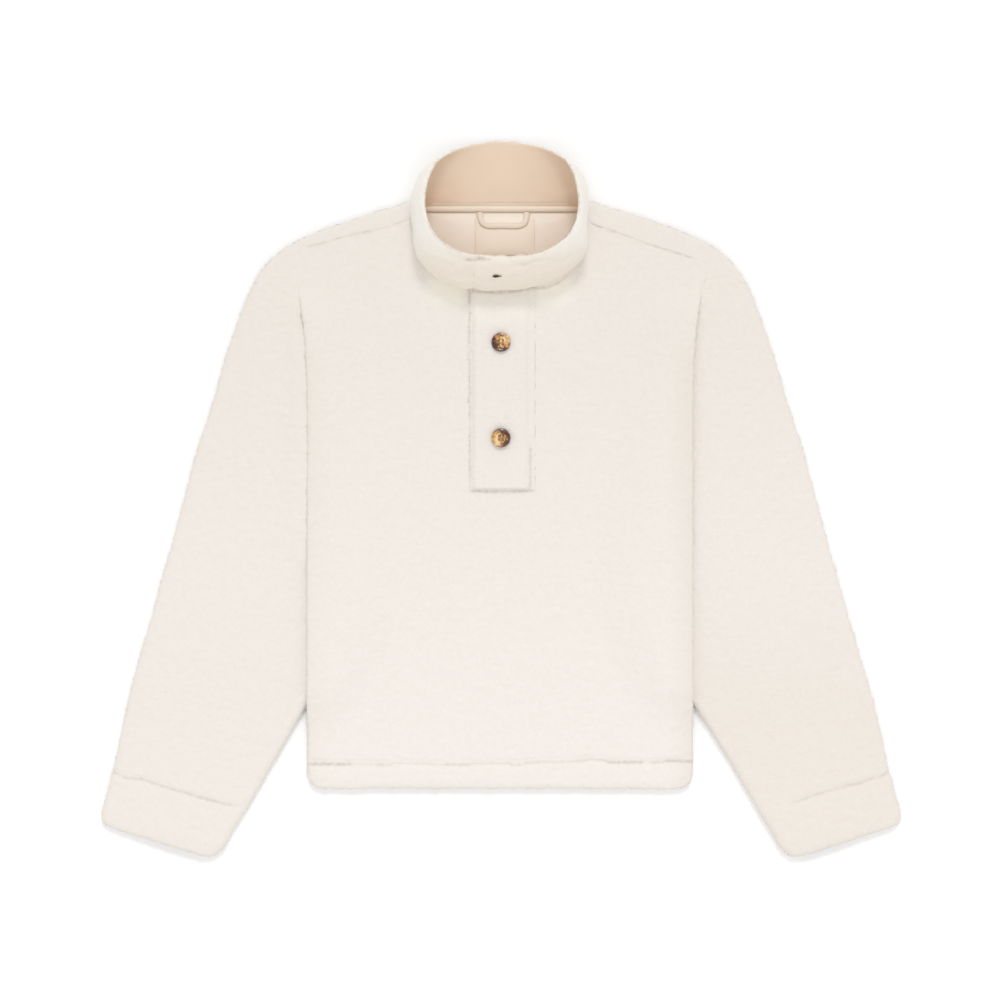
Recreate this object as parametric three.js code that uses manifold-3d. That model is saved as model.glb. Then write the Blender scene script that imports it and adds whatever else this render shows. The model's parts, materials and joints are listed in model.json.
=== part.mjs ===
// A sherpa fleece pullover laid flat on its back, front up, with its sleeves drawn down beside the body.
// Millimetres. X runs across the garment, Y runs from the hem to the collar, and Z is up off the surface.
// Each cut piece is a closed wall between two grids of points, an outer one and an inner one.
import * as THREE from "three";
import { mergeVertices } from "three/addons/utils/BufferGeometryUtils.js";
import Module from "manifold-3d";

const wasm = await Module();
wasm.setup();

// Cloth
const clothWall = 4.2; // one layer of fleece with its pile
const layerGap = 1.6; // air and facing between the front and the back panel
const seamGap = 0.3; // between pieces that are sewn together
const liningWall = 1.0; // smooth peach jersey
const tapeWall = 1.0; // neck tape and hanger loop
const labelWall = 0.6;

// Body
const bodyHalf = 203; // half of its width as laid
const hemY = -302.5;
const hemDepth = 26.5; // from the hem's edge to its stitching
const frontBottom = clothWall + layerGap;
const bodyHeight = frontBottom + clothWall;
const sideRoundLeft = 14; // width over which the front rounds down at its left side
const sideRoundRight = 20;
const backRound = 8;
const edgeLip = 0.8; // height of a panel's rim after it has rounded down
const hemGrooveDepth = 1.5;
const grooveHalfWidth = 5;

// Shoulders
const foldRadius = bodyHeight / 2; // the back panel folds over the shoulder with this outer radius
const wrapStart = 14; // how far below the shoulder edge the back panel's fold begins
const neckHalf = 98.3; // half of the gap in the fold that the collar stands in
const backNeckY = 302.7;
const headLength = 45; // length of shoulder edge over which the fold turns into the sleeve's head

// Sleeves
const sleeveHeight = 9; // two layers, pressed together where the body lies on them
const sleeveLoft = 2.4; // the rest stands a little higher
const sleeveRound = 8;
const cavityInset = 4.6;
const sleeveGrooveDepth = 1.4;
const tuckHeight = sleeveHeight + 0.4; // height that the tucked sleeve lifts the body to
const tuckSlope = 34;
const tuckMargin = 8;
const liftTopY = 226;
const liftBottomY = -278;
const liftRamp = 54;

// Placket and buttons
const placket = { left: -31.5, right: 34.7, bottom: 9.5, top: 222.4 };
const slit = { left: -28, right: 30, bottom: 13, top: 250 };
const placketRound = 6;
const buttonRadius = 10;
const buttonX = 1;
const buttonYs = { button_upper: 165, button_lower: 65 };
const buttonHoleRadius = 1.1;
const buttonHoleOffset = 2.1;

// Collar
const collarClear = 0.4; // its lower edge over the front panel
const collarShift = 2; // the rim lies this far right of the middle
const overlapStart = -0.95; // in table rows from the middle of the front, the free end on top
const overlapEnd = 18.9; // the end below it
const overlapBlend = [15.3, 16.9];
const overlapOffset = 2 * seamGap + clothWall + liningWall + 0.5;
const rowsRound = 18;

// Shoulder edge from the neck to the sleeve's head: distance from the middle, height up the garment.
const shoulderEdge = [
  { x: 0, y: 322 },
  { x: 60, y: 320 },
  { x: 97, y: 314.5 },
  { x: 111, y: 308.7 },
  { x: 132, y: 302.4 },
  { x: 149.5, y: 296 },
  { x: 167, y: 289.8 },
  { x: 185, y: 283.5 },
  { x: 200.5, y: 277 },
  { x: 215, y: 270.5 },
  { x: 225, y: 264.6 },
  { x: 233, y: 258.3 },
  { x: 240.5, y: 251.8 },
  { x: 247, y: 245 },
  { x: 252, y: 238.6 },
  { x: 255.8, y: 233 },
  { x: 258.5, y: 228 },
];

// How far in front of the shoulder edge the shoulder seam lies, by distance from the middle.
const seamDepths = [
  { x: 97, left: 20, right: 24 },
  { x: 131, left: 21.5, right: 24 },
  { x: 163, left: 19, right: 22.5 },
  { x: 200, left: 14.5, right: 19.5 },
  { x: 240, left: 15, right: 17 },
  { x: 260, left: 16, right: 17 },
];

// Side of the body from the hem's corner to the armhole's corner, then out along the sleeve's head.
const bodySide = [
  { x: 199.5, y: -298.8 },
  { x: 202.4, y: -293 },
  { x: 203, y: -286 },
  { x: 203.5, y: -250 },
  { x: 203.4, y: -150 },
  { x: 203, y: 0 },
  { x: 203, y: 110 },
  { x: 204.4, y: 160 },
  { x: 206.8, y: 186 },
  { x: 209.5, y: 206 },
  { x: 212.5, y: 222 },
  { x: 215.5, y: 230.5 },
  { x: 224, y: 231.5 },
  { x: 234, y: 230.3 },
];

// Sleeve as laid, from its head to the cuff's edge: where its outer and inner edges lie, its height, and
// how much of it its height loses in the groove of the cuff's stitching.
const sleeveRows = [
  { outerX: 258.8, outerY: 226.4, innerX: 217.5, innerY: 226.6, height: 9.0, groove: 0 },
  { outerX: 267.0, outerY: 209.0, innerX: 210.9, innerY: 207.0, height: 9.0, groove: 0 },
  { outerX: 277.0, outerY: 181.0, innerX: 207.2, innerY: 177.0, height: 9.0, groove: 0 },
  { outerX: 289.0, outerY: 147.0, innerX: 199.0, innerY: 138.0, height: 9.0, groove: 0 },
  { outerX: 300.3, outerY: 105.0, innerX: 185.0, innerY: 94.0, height: 9.0, groove: 0 },
  { outerX: 315.0, outerY: 62.0, innerX: 172.0, innerY: 46.0, height: 9.0, groove: 0 },
  { outerX: 328.0, outerY: 15.0, innerX: 164.0, innerY: -10.0, height: 9.0, groove: 0 },
  { outerX: 343.0, outerY: -42.0, innerX: 162.0, innerY: -74.0, height: 9.0, groove: 0 },
  { outerX: 355.0, outerY: -84.0, innerX: 166.0, innerY: -120.0, height: 9.0, groove: 0 },
  { outerX: 366.5, outerY: -126.0, innerX: 178.0, innerY: -163.0, height: 9.0, groove: 0 },
  { outerX: 379.0, outerY: -168.0, innerX: 196.0, innerY: -203.0, height: 9.0, groove: 0 },
  { outerX: 390.0, outerY: -210.0, innerX: 219.0, innerY: -243.0, height: 9.2, groove: 0 },
  { outerX: 398.5, outerY: -250.0, innerX: 244.0, innerY: -286.0, height: 9.4, groove: 0 },
  { outerX: 404.0, outerY: -276.0, innerX: 260.5, innerY: -315.0, height: 9.6, groove: 0 },
  { outerX: 406.0, outerY: -284.0, innerX: 265.8, innerY: -323.5, height: 9.6, groove: 1 },
  { outerX: 408.3, outerY: -292.0, innerX: 271.0, innerY: -332.0, height: 10.6, groove: 0 },
  { outerX: 414.0, outerY: -314.0, innerX: 283.0, innerY: -352.0, height: 10.8, groove: 0 },
  { outerX: 418.6, outerY: -334.0, innerX: 289.5, innerY: -364.0, height: 10.6, groove: 0 },
  { outerX: 416.5, outerY: -343.0, innerX: 300.0, innerY: -373.4, height: 9.6, groove: 0 },
  { outerX: 411.5, outerY: -347.0, innerX: 306.0, innerY: -375.6, height: 7.0, groove: 0 },
];

// Collar from the middle of the front to the middle of the back: its lower edge, its rim, and how far
// the wall between them bellies out, and sags, from a straight line.
const collarRows = [
  { baseX: 0, baseY: 227, baseZ: 0, rimX: 0, rimY: 248, rimZ: 60, out: 34.8, outX: 0, outY: -1, sag: 1 },
  { baseX: 31, baseY: 229, baseZ: 0, rimX: 29, rimY: 250, rimZ: 61, out: 34, outX: 0.1, outY: -1, sag: 1 },
  { baseX: 60, baseY: 239, baseZ: 0, rimX: 54, rimY: 259, rimZ: 62, out: 31, outX: 0.45, outY: -0.9, sag: 1 },
  { baseX: 79, baseY: 256, baseZ: 0, rimX: 73, rimY: 276, rimZ: 63, out: 28, outX: 0.8, outY: -0.6, sag: 1 },
  { baseX: 85, baseY: 276, baseZ: 0, rimX: 82, rimY: 303, rimZ: 61, out: 17, outX: 1, outY: -0.1, sag: 1 },
  { baseX: 90, baseY: 297, baseZ: 0, rimX: 79, rimY: 331, rimZ: 53, out: 15, outX: 1, outY: 0.1, sag: 1 },
  { baseX: 87.5, baseY: 304.5, baseZ: -5, rimX: 66, rimY: 353, rimZ: 36, out: 21, outX: 0.87, outY: 0.49, sag: 5 },
  { baseX: 66, baseY: 303.6, baseZ: -10, rimX: 46, rimY: 367, rimZ: 17, out: 7, outX: 0.9, outY: 0.4, sag: 7 },
  { baseX: 34, baseY: 303.4, baseZ: -10.1, rimX: 23, rimY: 373, rimZ: 6, out: 1, outX: 0.5, outY: 0.5, sag: 3 },
  { baseX: 0, baseY: 303.4, baseZ: -10.1, rimX: 0, rimY: 375.5, rimZ: 3, out: 0, outX: 0, outY: 1, sag: 1.3 },
];
const collarLowZ = 0.3; // no point of the collar's outer face lies lower
const neckHoleFront = 10; // how far the front panel reaches in under the collar at the front
const neckHoleSide = 6;

// Neck tape, hanger loop, label and facing as seen through the neck
const tape = { left: -61, right: 63, bottom: 297.4, top: 306.4, z: 6.2 };
const loop = { topLeft: -23, topRight: 30, footLeft: -18, footRight: 23, foot: 285.6, top: 297.1, band: 5 };
const label = { left: -26, right: 36, bottom: 254, top: 297 };
const facing = { half: 78, bottom: 228, top: 302.4 };

// Grid lines: distances in from each side of a panel, and up from its hem.
const fromSide = [0, 2, 6, 12, 20, 36, 56, 78, 104, 136, 170, 203];
const fromHem = [0, 3, 8, 15, 21.5, 26.5, 31.5, 42, 66, 96, 130, 165, 200, 240, 280, 320, 360, 400, 440, 475];
const fromHemTop = [500, 520, 533, 545, 556, 566];
const collarColumns = 44;
const collarUps = [0, 0.08, 0.26, 0.5, 0.74, 0.93, 1];

function smooth(t) {
  const s = Math.min(1, Math.max(0, t));
  return s * s * (3 - 2 * s);
}

function mix(a, b, t) {
  return a + (b - a) * t;
}

// A column of a table at a place between two of its rows. The key column rises or falls all the way.
function lookUp(rows, key, at, column) {
  const falls = rows[0][key] > rows[rows.length - 1][key];
  const sorted = falls ? [...rows].reverse() : rows;
  if (at <= sorted[0][key]) {
    return sorted[0][column];
  }
  for (let i = 1; i < sorted.length; i += 1) {
    if (at <= sorted[i][key]) {
      const t = (at - sorted[i - 1][key]) / (sorted[i][key] - sorted[i - 1][key]);
      return mix(sorted[i - 1][column], sorted[i][column], t);
    }
  }
  return sorted[sorted.length - 1][column];
}

function curveThrough(points, closed = false) {
  const curve = new THREE.CatmullRomCurve3(points, closed, "centripetal");
  curve.arcLengthDivisions = 600;
  return curve;
}

function flatPoint(x, y) {
  return new THREE.Vector3(x, y, 0);
}

// A quarter-round drop, 1 at an edge and 0 from the given width inwards.
function edgeDrop(distance, width) {
  if (distance >= width) {
    return 0;
  }
  const s = 1 - distance / width;
  return 1 - Math.sqrt(1 - s * s);
}

// A soft trough, 1 in its middle.
function trough(distance, halfWidth) {
  return Math.max(0, 1 - (distance / halfWidth) ** 2);
}

// How high the sleeve tucked below the body lifts it.
function bodyLift(x, y) {
  const side = Math.abs(x);
  const tuckedEdge = y > 228 || y < -220 ? bodyHalf + 1 : lookUp(sleeveRows, "innerY", y, "innerX");
  const across = smooth((side - tuckedEdge + tuckSlope + tuckMargin) / tuckSlope);
  const along = smooth((liftTopY - y) / liftRamp) * smooth((y - liftBottomY) / liftRamp);
  return tuckHeight * across * along;
}

function seamDepthAt(x) {
  return lookUp(seamDepths, "x", Math.abs(x), x < 0 ? "left" : "right");
}

// A wall between two grids of points with rows and columns alike. A tube's columns close on themselves.
function wallBetween(outer, inner, tube = false) {
  const rows = outer.length;
  const columns = outer[0].length;
  const shift = rows * columns;
  const corners = [...outer.flat(), ...inner.flat()];
  const faces = [];
  const at = (row, column) => row * columns + (column % columns);
  const quad = (a, b, c, d) => faces.push(a, b, c, a, c, d);
  const spans = tube ? columns : columns - 1;
  const last = rows - 1;
  for (let c = 0; c < spans; c += 1) {
    for (let r = 0; r < last; r += 1) {
      quad(at(r, c), at(r, c + 1), at(r + 1, c + 1), at(r + 1, c));
      quad(shift + at(r, c), shift + at(r + 1, c), shift + at(r + 1, c + 1), shift + at(r, c + 1));
    }
    quad(at(0, c + 1), at(0, c), shift + at(0, c), shift + at(0, c + 1));
    quad(at(last, c), at(last, c + 1), shift + at(last, c + 1), shift + at(last, c));
  }
  for (let r = 0; r < last && !tube; r += 1) {
    quad(at(r, 0), at(r + 1, 0), shift + at(r + 1, 0), shift + at(r, 0));
    quad(at(r + 1, spans), at(r, spans), shift + at(r, spans), shift + at(r + 1, spans));
  }
  return closedGeometry(corners, faces);
}

// Turns the faces so that they point outwards.
function closedGeometry(corners, faces) {
  let volume = 0;
  for (let i = 0; i < faces.length; i += 3) {
    const [a, b, c] = [corners[faces[i]], corners[faces[i + 1]], corners[faces[i + 2]]];
    volume += a.dot(b.clone().cross(c));
  }
  if (volume < 0) {
    faces.reverse();
  }
  const geometry = new THREE.BufferGeometry().setFromPoints(corners);
  geometry.setIndex(faces);
  return geometry;
}

function solidFrom(geometry) {
  const bare = geometry.clone();
  bare.deleteAttribute("normal");
  bare.deleteAttribute("uv");
  const merged = mergeVertices(bare, 1e-3);
  return new wasm.Manifold(
    new wasm.Mesh({
      numProp: 3,
      vertProperties: merged.attributes.position.array,
      triVerts: new Uint32Array(merged.index.array),
    }),
  );
}

function geometryFrom(solid) {
  const mesh = solid.getMesh();
  const geometry = new THREE.BufferGeometry();
  geometry.setAttribute("position", new THREE.BufferAttribute(mesh.vertProperties, 3));
  geometry.setIndex(new THREE.BufferAttribute(mesh.triVerts, 1));
  return geometry;
}

function cut(geometry, ...tools) {
  const solid = tools.reduce((rest, tool) => rest.subtract(solidFrom(tool)), solidFrom(geometry));
  return geometryFrom(solid);
}

// An upright prism over an outline seen from above.
function prism(outline, low, high) {
  const shape = new THREE.Shape(outline.map((p) => new THREE.Vector2(p.x, p.y)));
  const geometry = new THREE.ExtrudeGeometry(shape, { depth: high - low, bevelEnabled: false });
  return geometry.translate(0, 0, low);
}

function rectangle(left, right, bottom, top) {
  return [
    { x: left, y: bottom },
    { x: right, y: bottom },
    { x: right, y: top },
    { x: left, y: top },
  ];
}

// Panels of the body are patches blended between four edges, seen from above.
const shoulderLine = curveThrough([
  ...[...shoulderEdge].reverse().map((p) => flatPoint(-p.x, p.y)),
  ...shoulderEdge.slice(1).map((p) => flatPoint(p.x, p.y)),
]);
const hemLine = curveThrough([
  flatPoint(-199.5, -298.8),
  flatPoint(-190, hemY + 0.4),
  flatPoint(-120, hemY),
  flatPoint(120, hemY),
  flatPoint(190, hemY + 0.4),
  flatPoint(199.5, -298.8),
]);
const shoulderLength = shoulderLine.getLength();

// A point a distance in front of the shoulder edge. Over the sleeves' heads that is straight inwards.
function inFromShoulder(u, distance) {
  const edge = shoulderLine.getPointAt(u);
  const along = shoulderLine.getTangentAt(u);
  const fromEnd = Math.min(u, 1 - u) * shoulderLength;
  const level = smooth(1 - fromEnd / headLength);
  const inwards = new THREE.Vector2(along.y, -along.x).multiplyScalar(1 - level);
  inwards.x += u < 0.5 ? level : -level;
  inwards.normalize();
  return flatPoint(edge.x + inwards.x * distance, edge.y + inwards.y * distance);
}

function sideLine(side, topPoint) {
  return curveThrough([...bodySide.map((p) => flatPoint(side * p.x, p.y)), topPoint(side < 0 ? 0 : 1)]);
}

function blendedPoint(u, v, topPoint, leftSide, rightSide) {
  const low = hemLine.getPointAt(u).multiplyScalar(1 - v);
  const high = topPoint(u).multiplyScalar(v);
  const left = leftSide.getPointAt(v).multiplyScalar(1 - u);
  const right = rightSide.getPointAt(v).multiplyScalar(u);
  const corners = hemLine.getPointAt(0).multiplyScalar((1 - u) * (1 - v));
  corners.add(hemLine.getPointAt(1).multiplyScalar(u * (1 - v)));
  corners.add(topPoint(0).multiplyScalar((1 - u) * v));
  corners.add(topPoint(1).multiplyScalar(u * v));
  return low.add(high).add(left).add(right).sub(corners);
}

const panelWidth = 2 * bodyHalf;
const acrossPanel = [...fromSide, ...[...fromSide].reverse().slice(1).map((d) => panelWidth - d)];
const upPanel = [...fromHem, ...fromHemTop];
const panelLength = upPanel[upPanel.length - 1];

// The panel's points seen from above, in rows from the hem up.
function planGrid(topPoint) {
  const sides = [sideLine(-1, topPoint), sideLine(1, topPoint)];
  return upPanel.map((up) =>
    acrossPanel.map((across) => blendedPoint(across / panelWidth, up / panelLength, topPoint, ...sides)),
  );
}

function hemShape(distance) {
  const edge = 3 * edgeDrop(distance, 9);
  const groove = hemGrooveDepth * trough(distance - hemDepth, grooveHalfWidth);
  const roll = distance < hemDepth ? 0.8 * trough(distance - hemDepth / 2, hemDepth / 2) : 0;
  return roll - edge - groove;
}

// The front panel's upper face: its height over the surface.
function frontTop(x, y, across, up) {
  const fromLeft = across;
  const fromRight = panelWidth - across;
  const drop = edgeDrop(fromLeft, sideRoundLeft) + edgeDrop(fromRight, sideRoundRight);
  const nearSeam = 0.8 * edgeDrop(panelLength - up, 8);
  const full = clothWall - edgeLip;
  return bodyLift(x, y) + bodyHeight + hemShape(up) * (1 - drop) - nearSeam - full * drop;
}

function makeFrontPanel() {
  const topPoint = (u) => inFromShoulder(u, seamDepthAt(shoulderLine.getPointAt(u).x) + seamGap);
  const plan = planGrid(topPoint);
  const atHeight = (p, z) => new THREE.Vector3(p.x, p.y, z);
  const outer = plan.map((row, r) =>
    row.map((p, i) => atHeight(p, frontTop(p.x, p.y, acrossPanel[i], upPanel[r]))),
  );
  const inner = plan.map((row) => row.map((p) => atHeight(p, bodyLift(p.x, p.y) + frontBottom)));
  const slitTool = prism(rectangle(slit.left, slit.right, slit.bottom, slit.top), 0, 30);
  return cut(wallBetween(outer, inner), prism(neckHole(), -10, 40), slitTool);
}

// The back panel lies on the surface, folds over each shoulder and ends at the seam in front of it.
function makeBackPanel() {
  const topPoint = (u) => inFromShoulder(u, wrapStart);
  const plan = planGrid(topPoint);
  const atHeight = (p, z) => new THREE.Vector3(p.x, p.y, z);
  const rise = (across, up) => {
    const drop = edgeDrop(across, backRound) + edgeDrop(panelWidth - across, backRound);
    return (clothWall - edgeLip) * Math.max(drop, edgeDrop(up, backRound));
  };
  const outer = plan.map((row, r) =>
    row.map((p, i) => atHeight(p, bodyLift(p.x, p.y) + rise(acrossPanel[i], upPanel[r]))),
  );
  const inner = plan.map((row) => row.map((p) => atHeight(p, bodyLift(p.x, p.y) + clothWall)));
  const innerRadius = foldRadius - clothWall;
  for (const angle of [-90, -50, -15, 15, 50, 90]) {
    const turn = THREE.MathUtils.degToRad(angle);
    outer.push(foldRow(() => foldRadius * (1 - Math.cos(turn)), foldRadius * (1 + Math.sin(turn))));
    const height = foldRadius + innerRadius * Math.sin(turn);
    inner.push(foldRow(() => foldRadius - innerRadius * Math.cos(turn), height));
  }
  for (const share of [0.5, 0.8, 1]) {
    const depth = (x) => mix(foldRadius, seamDepthAt(x), share);
    outer.push(foldRow(depth, share < 1 ? bodyHeight : bodyHeight - 0.8));
    inner.push(foldRow(depth, frontBottom));
  }
  return cut(wallBetween(outer, inner), ...neckGap());
}

function foldRow(depthAt, height) {
  return acrossPanel.map((across) => {
    const u = across / panelWidth;
    const p = inFromShoulder(u, depthAt(shoulderLine.getPointAt(u).x));
    return new THREE.Vector3(p.x, p.y, height);
  });
}

// What the collar takes out of the back panel: all of it past the back neck seam, and the fold before it.
function neckGap() {
  const past = prism(rectangle(-neckHalf, neckHalf, backNeckY, 400), -5, 40);
  const fold = prism(rectangle(-neckHalf, neckHalf, 262, 400), clothWall + 0.4, 40);
  return [past, fold];
}

// One sleeve, a flattened tube. Side is -1 for the left one and 1 for the right one.
function makeSleeve(side) {
  const outer = [];
  const inner = [];
  for (const row of sleeveRows) {
    const seen = (row.outerX - bodyHalf - 3) / (row.outerX - row.innerX);
    const section = (inset, low, lost, round) => sleeveSection(side, row, seen, inset, low, lost, round);
    outer.push(section(0, 0, sleeveGrooveDepth * row.groove, sleeveRound));
    const wall = Math.min(clothWall, row.height / 2 - 0.25);
    inner.push(section(cavityInset, wall, wall, 3.5));
  }
  return wallBetween(outer, inner, true);
}

function sleeveSection(side, row, seen, inset, low, lost, round) {
  const width = Math.hypot(row.outerX - row.innerX, row.outerY - row.innerY);
  const place = (distance, z) => {
    const t = distance / width;
    return new THREE.Vector3(side * mix(row.outerX, row.innerX, t), mix(row.outerY, row.innerY, t), z);
  };
  const topAt = (distance) => {
    const t = Math.min(1, distance / width / Math.min(1, seen));
    return row.height + sleeveLoft * Math.sin(Math.PI * t) ** 2 - lost;
  };
  const points = [];
  const start = inset + round;
  const end = width - inset - round;
  for (const t of [0, 0.33, 0.67, 1]) {
    points.push(place(mix(start, end, t), low));
  }
  const endTop = topAt(end);
  for (const angle of [-50, 0, 50]) {
    const turn = THREE.MathUtils.degToRad(angle);
    points.push(place(end + round * Math.cos(turn), mix(low, endTop, (1 + Math.sin(turn)) / 2)));
  }
  for (const t of [1, 0.87, 0.74, 0.6, 0.45, 0.3, 0.15, 0]) {
    const distance = mix(start, end, t);
    points.push(place(distance, topAt(distance)));
  }
  const startTop = topAt(start);
  for (const angle of [50, 0, -50]) {
    const turn = THREE.MathUtils.degToRad(angle);
    points.push(place(start - round * Math.cos(turn), mix(low, startTop, (1 + Math.sin(turn)) / 2)));
  }
  return points;
}

// The collar's outer face: a band from its lower edge to its rim that bellies out between them.
const collarRound = [...collarRows.map((row) => ({ ...row, side: 1 }))];
for (let i = collarRows.length - 2; i > 0; i -= 1) {
  collarRound.push({ ...collarRows[i], side: -1 });
}
const collarBase = curveThrough(
  collarRound.map((r) => {
    const z = Math.max(collarLowZ, bodyHeight + collarClear + r.baseZ);
    return new THREE.Vector3(r.side * r.baseX, r.baseY, z);
  }),
  true,
);
const collarRim = curveThrough(
  collarRound.map((r) => new THREE.Vector3(r.side * r.rimX + collarShift, r.rimY, r.rimZ)),
  true,
);
const collarBelly = curveThrough(
  collarRound.map((r) => {
    const middle = flatPoint((r.side * (r.baseX + r.rimX) + collarShift) / 2, (r.baseY + r.rimY) / 2);
    const baseZ = bodyHeight + collarClear + r.baseZ;
    middle.z = Math.max(collarLowZ, (baseZ + r.rimZ) / 2 - r.sag);
    return middle.add(new THREE.Vector3(r.side * r.outX, r.outY, 0).multiplyScalar(r.out));
  }),
  true,
);

function collarFace(turn, up) {
  const t = ((turn / rowsRound) % 1 + 1) % 1;
  const base = collarBase.getPoint(t).multiplyScalar((1 - up) ** 2);
  const belly = collarBelly.getPoint(t).multiplyScalar(2 * up * (1 - up));
  const rim = collarRim.getPoint(t).multiplyScalar(up ** 2);
  const point = base.add(belly).add(rim);
  point.z = Math.max(point.z, collarLowZ);
  return point;
}

function collarPoint(turn, up, depth) {
  const step = 0.02;
  const round = collarFace(turn + step, up).sub(collarFace(turn - step, up));
  const rise = collarFace(turn, Math.min(1, up + step)).sub(collarFace(turn, Math.max(0, up - step)));
  const inwards = rise.cross(round).normalize();
  const blend = smooth((turn - overlapBlend[0]) / (overlapBlend[1] - overlapBlend[0]));
  const rounded = edgeDrop(Math.min(up, 1 - up) * 68, 4) * 0.9;
  const inset = Math.min(depth, clothWall / 2);
  const soft = depth < clothWall / 2 ? rounded : 0;
  return collarFace(turn, up).addScaledVector(inwards, depth + overlapOffset * blend + soft * (1 - inset));
}

function makeCollarLayer(nearDepth, farDepth) {
  const turns = [];
  for (let i = 0; i <= collarColumns; i += 1) {
    turns.push(mix(overlapStart, overlapEnd, i / collarColumns));
  }
  const outer = collarUps.map((up) => turns.map((turn) => collarPoint(turn, up, nearDepth)));
  const inner = collarUps.map((up) => turns.map((turn) => collarPoint(turn, up, farDepth)));
  return wallBetween(outer, inner);
}

// The front panel's neck edge, seen from above, just inside the collar's lower edge.
function neckHole() {
  const outline = [];
  for (let turn = -5; turn <= 5; turn += 0.5) {
    const t = ((turn / rowsRound) % 1 + 1) % 1;
    const p = collarBase.getPoint(t);
    const along = collarBase.getTangent(t);
    const reach = mix(neckHoleFront, neckHoleSide, smooth(Math.abs(turn) / 3));
    outline.push({ x: p.x - along.y * reach, y: p.y + along.x * reach });
  }
  const half = outline[outline.length - 1].x;
  outline.push({ x: half, y: 400 });
  outline.push({ x: outline[0].x, y: 400 });
  return outline;
}

// A flat strip on the front panel, made from the panel's own heights moved out.
function makePlacketStrip(area, gap, columns, rows, round, softness) {
  const outer = [];
  const inner = [];
  for (let r = 0; r <= rows; r += 1) {
    const y = mix(area.bottom, area.top, edgeSpread(r / rows));
    const xs = [];
    for (let c = 0; c <= columns; c += 1) {
      xs.push(mix(area.left, area.right, edgeSpread(c / columns)));
    }
    const low = (x) => bodyLift(x, y) + gap;
    const near = (x) => Math.min(x - area.left, area.right - x, y - area.bottom, area.top - y);
    const high = (x) => low(x) + clothWall - softness * edgeDrop(near(x), round);
    outer.push(xs.map((x) => new THREE.Vector3(x, y, high(x))));
    inner.push(xs.map((x) => new THREE.Vector3(x, y, low(x))));
  }
  return wallBetween(outer, inner);
}

// Grid lines closer together at both ends.
function edgeSpread(t) {
  return (1 - Math.cos(Math.PI * t)) / 2;
}

function makeButton(y) {
  const profile = [
    [0, 0],
    [8.4, 0],
    [9.7, 0.9],
    [10, 2],
    [9.4, 3.1],
    [8.2, 3.5],
    [7.2, 3.2],
    [6, 2.5],
    [0, 2.3],
  ];
  const scale = buttonRadius / 10;
  const disc = new THREE.LatheGeometry(profile.map(([r, h]) => new THREE.Vector2(r * scale, h)), 24);
  disc.rotateX(Math.PI / 2);
  const holes = [];
  for (const [dx, dy] of [[1, 1], [1, -1], [-1, 1], [-1, -1]]) {
    const hole = new THREE.CylinderGeometry(buttonHoleRadius, buttonHoleRadius, 8, 8);
    hole.rotateX(Math.PI / 2);
    hole.translate(dx * buttonHoleOffset, dy * buttonHoleOffset, 2);
    holes.push(hole);
  }
  const seat = bodyHeight + seamGap + clothWall + seamGap;
  return cut(disc, ...holes).translate(buttonX, y, seat);
}

function makeLoop() {
  const outline = [
    { x: loop.topLeft, y: loop.top },
    { x: loop.footLeft, y: loop.foot },
    { x: loop.footRight, y: loop.foot },
    { x: loop.topRight, y: loop.top },
    { x: loop.topRight - loop.band, y: loop.top },
    { x: loop.footRight - loop.band + 1, y: loop.foot + loop.band },
    { x: loop.footLeft + loop.band - 1, y: loop.foot + loop.band },
    { x: loop.topLeft + loop.band, y: loop.top },
  ];
  const low = clothWall + seamGap + liningWall + seamGap + labelWall + seamGap;
  return prism(outline, low, low + tapeWall);
}

function makeFacing() {
  const outline = [
    { x: -facing.half, y: facing.top },
    { x: -facing.half, y: 280 },
    { x: -66, y: 250 },
    { x: -42, y: 234 },
    { x: 0, y: facing.bottom },
    { x: 42, y: 234 },
    { x: 66, y: 250 },
    { x: facing.half, y: 280 },
    { x: facing.half, y: facing.top },
  ];
  const low = clothWall + seamGap;
  return prism(outline, low, low + liningWall);
}

const fleece = { color: 0xf0e9e0, roughness: 0.95, metalness: 0 };
const peach = { color: 0xe3c9b0, roughness: 0.85, metalness: 0 };
const paleTape = { color: 0xead3bd, roughness: 0.85, metalness: 0 };
const tortoiseshell = { color: 0x6b3d1c, roughness: 0.3, metalness: 0 };

const pullover = new THREE.Group();

function addPiece(name, geometry, look) {
  const mesh = new THREE.Mesh(geometry, new THREE.MeshStandardMaterial(look));
  mesh.name = name;
  pullover.add(mesh);
}

const liningStart = clothWall + seamGap;
const facingTop = clothWall + seamGap + liningWall;
const underArea = {
  left: slit.left + seamGap,
  right: slit.right - seamGap,
  bottom: slit.bottom + seamGap,
  top: 236.4,
};
addPiece("front_panel", makeFrontPanel(), fleece);
addPiece("back_panel", makeBackPanel(), fleece);
addPiece("sleeve_left", makeSleeve(-1), fleece);
addPiece("sleeve_right", makeSleeve(1), fleece);
addPiece("collar_outer", makeCollarLayer(0, clothWall), fleece);
addPiece("collar_lining", makeCollarLayer(liningStart, liningStart + liningWall), peach);
addPiece("placket_under", makePlacketStrip(underArea, frontBottom, 4, 8, 1, 0), fleece);
addPiece("placket_over", makePlacketStrip(placket, bodyHeight + seamGap, 8, 16, placketRound, 2.2), fleece);
addPiece("neck_facing", makeFacing(), peach);
addPiece("neck_tape", prism(rectangle(tape.left, tape.right, tape.bottom, tape.top), tape.z, tape.z + tapeWall), paleTape);
addPiece(
  "neck_label",
  prism(rectangle(label.left, label.right, label.bottom, label.top), facingTop + seamGap, facingTop + seamGap + labelWall),
  paleTape,
);
addPiece("hanger_loop", makeLoop(), paleTape);
for (const [name, y] of Object.entries(buttonYs)) {
  addPiece(name, makeButton(y), tortoiseshell);
}

export default pullover;
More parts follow.
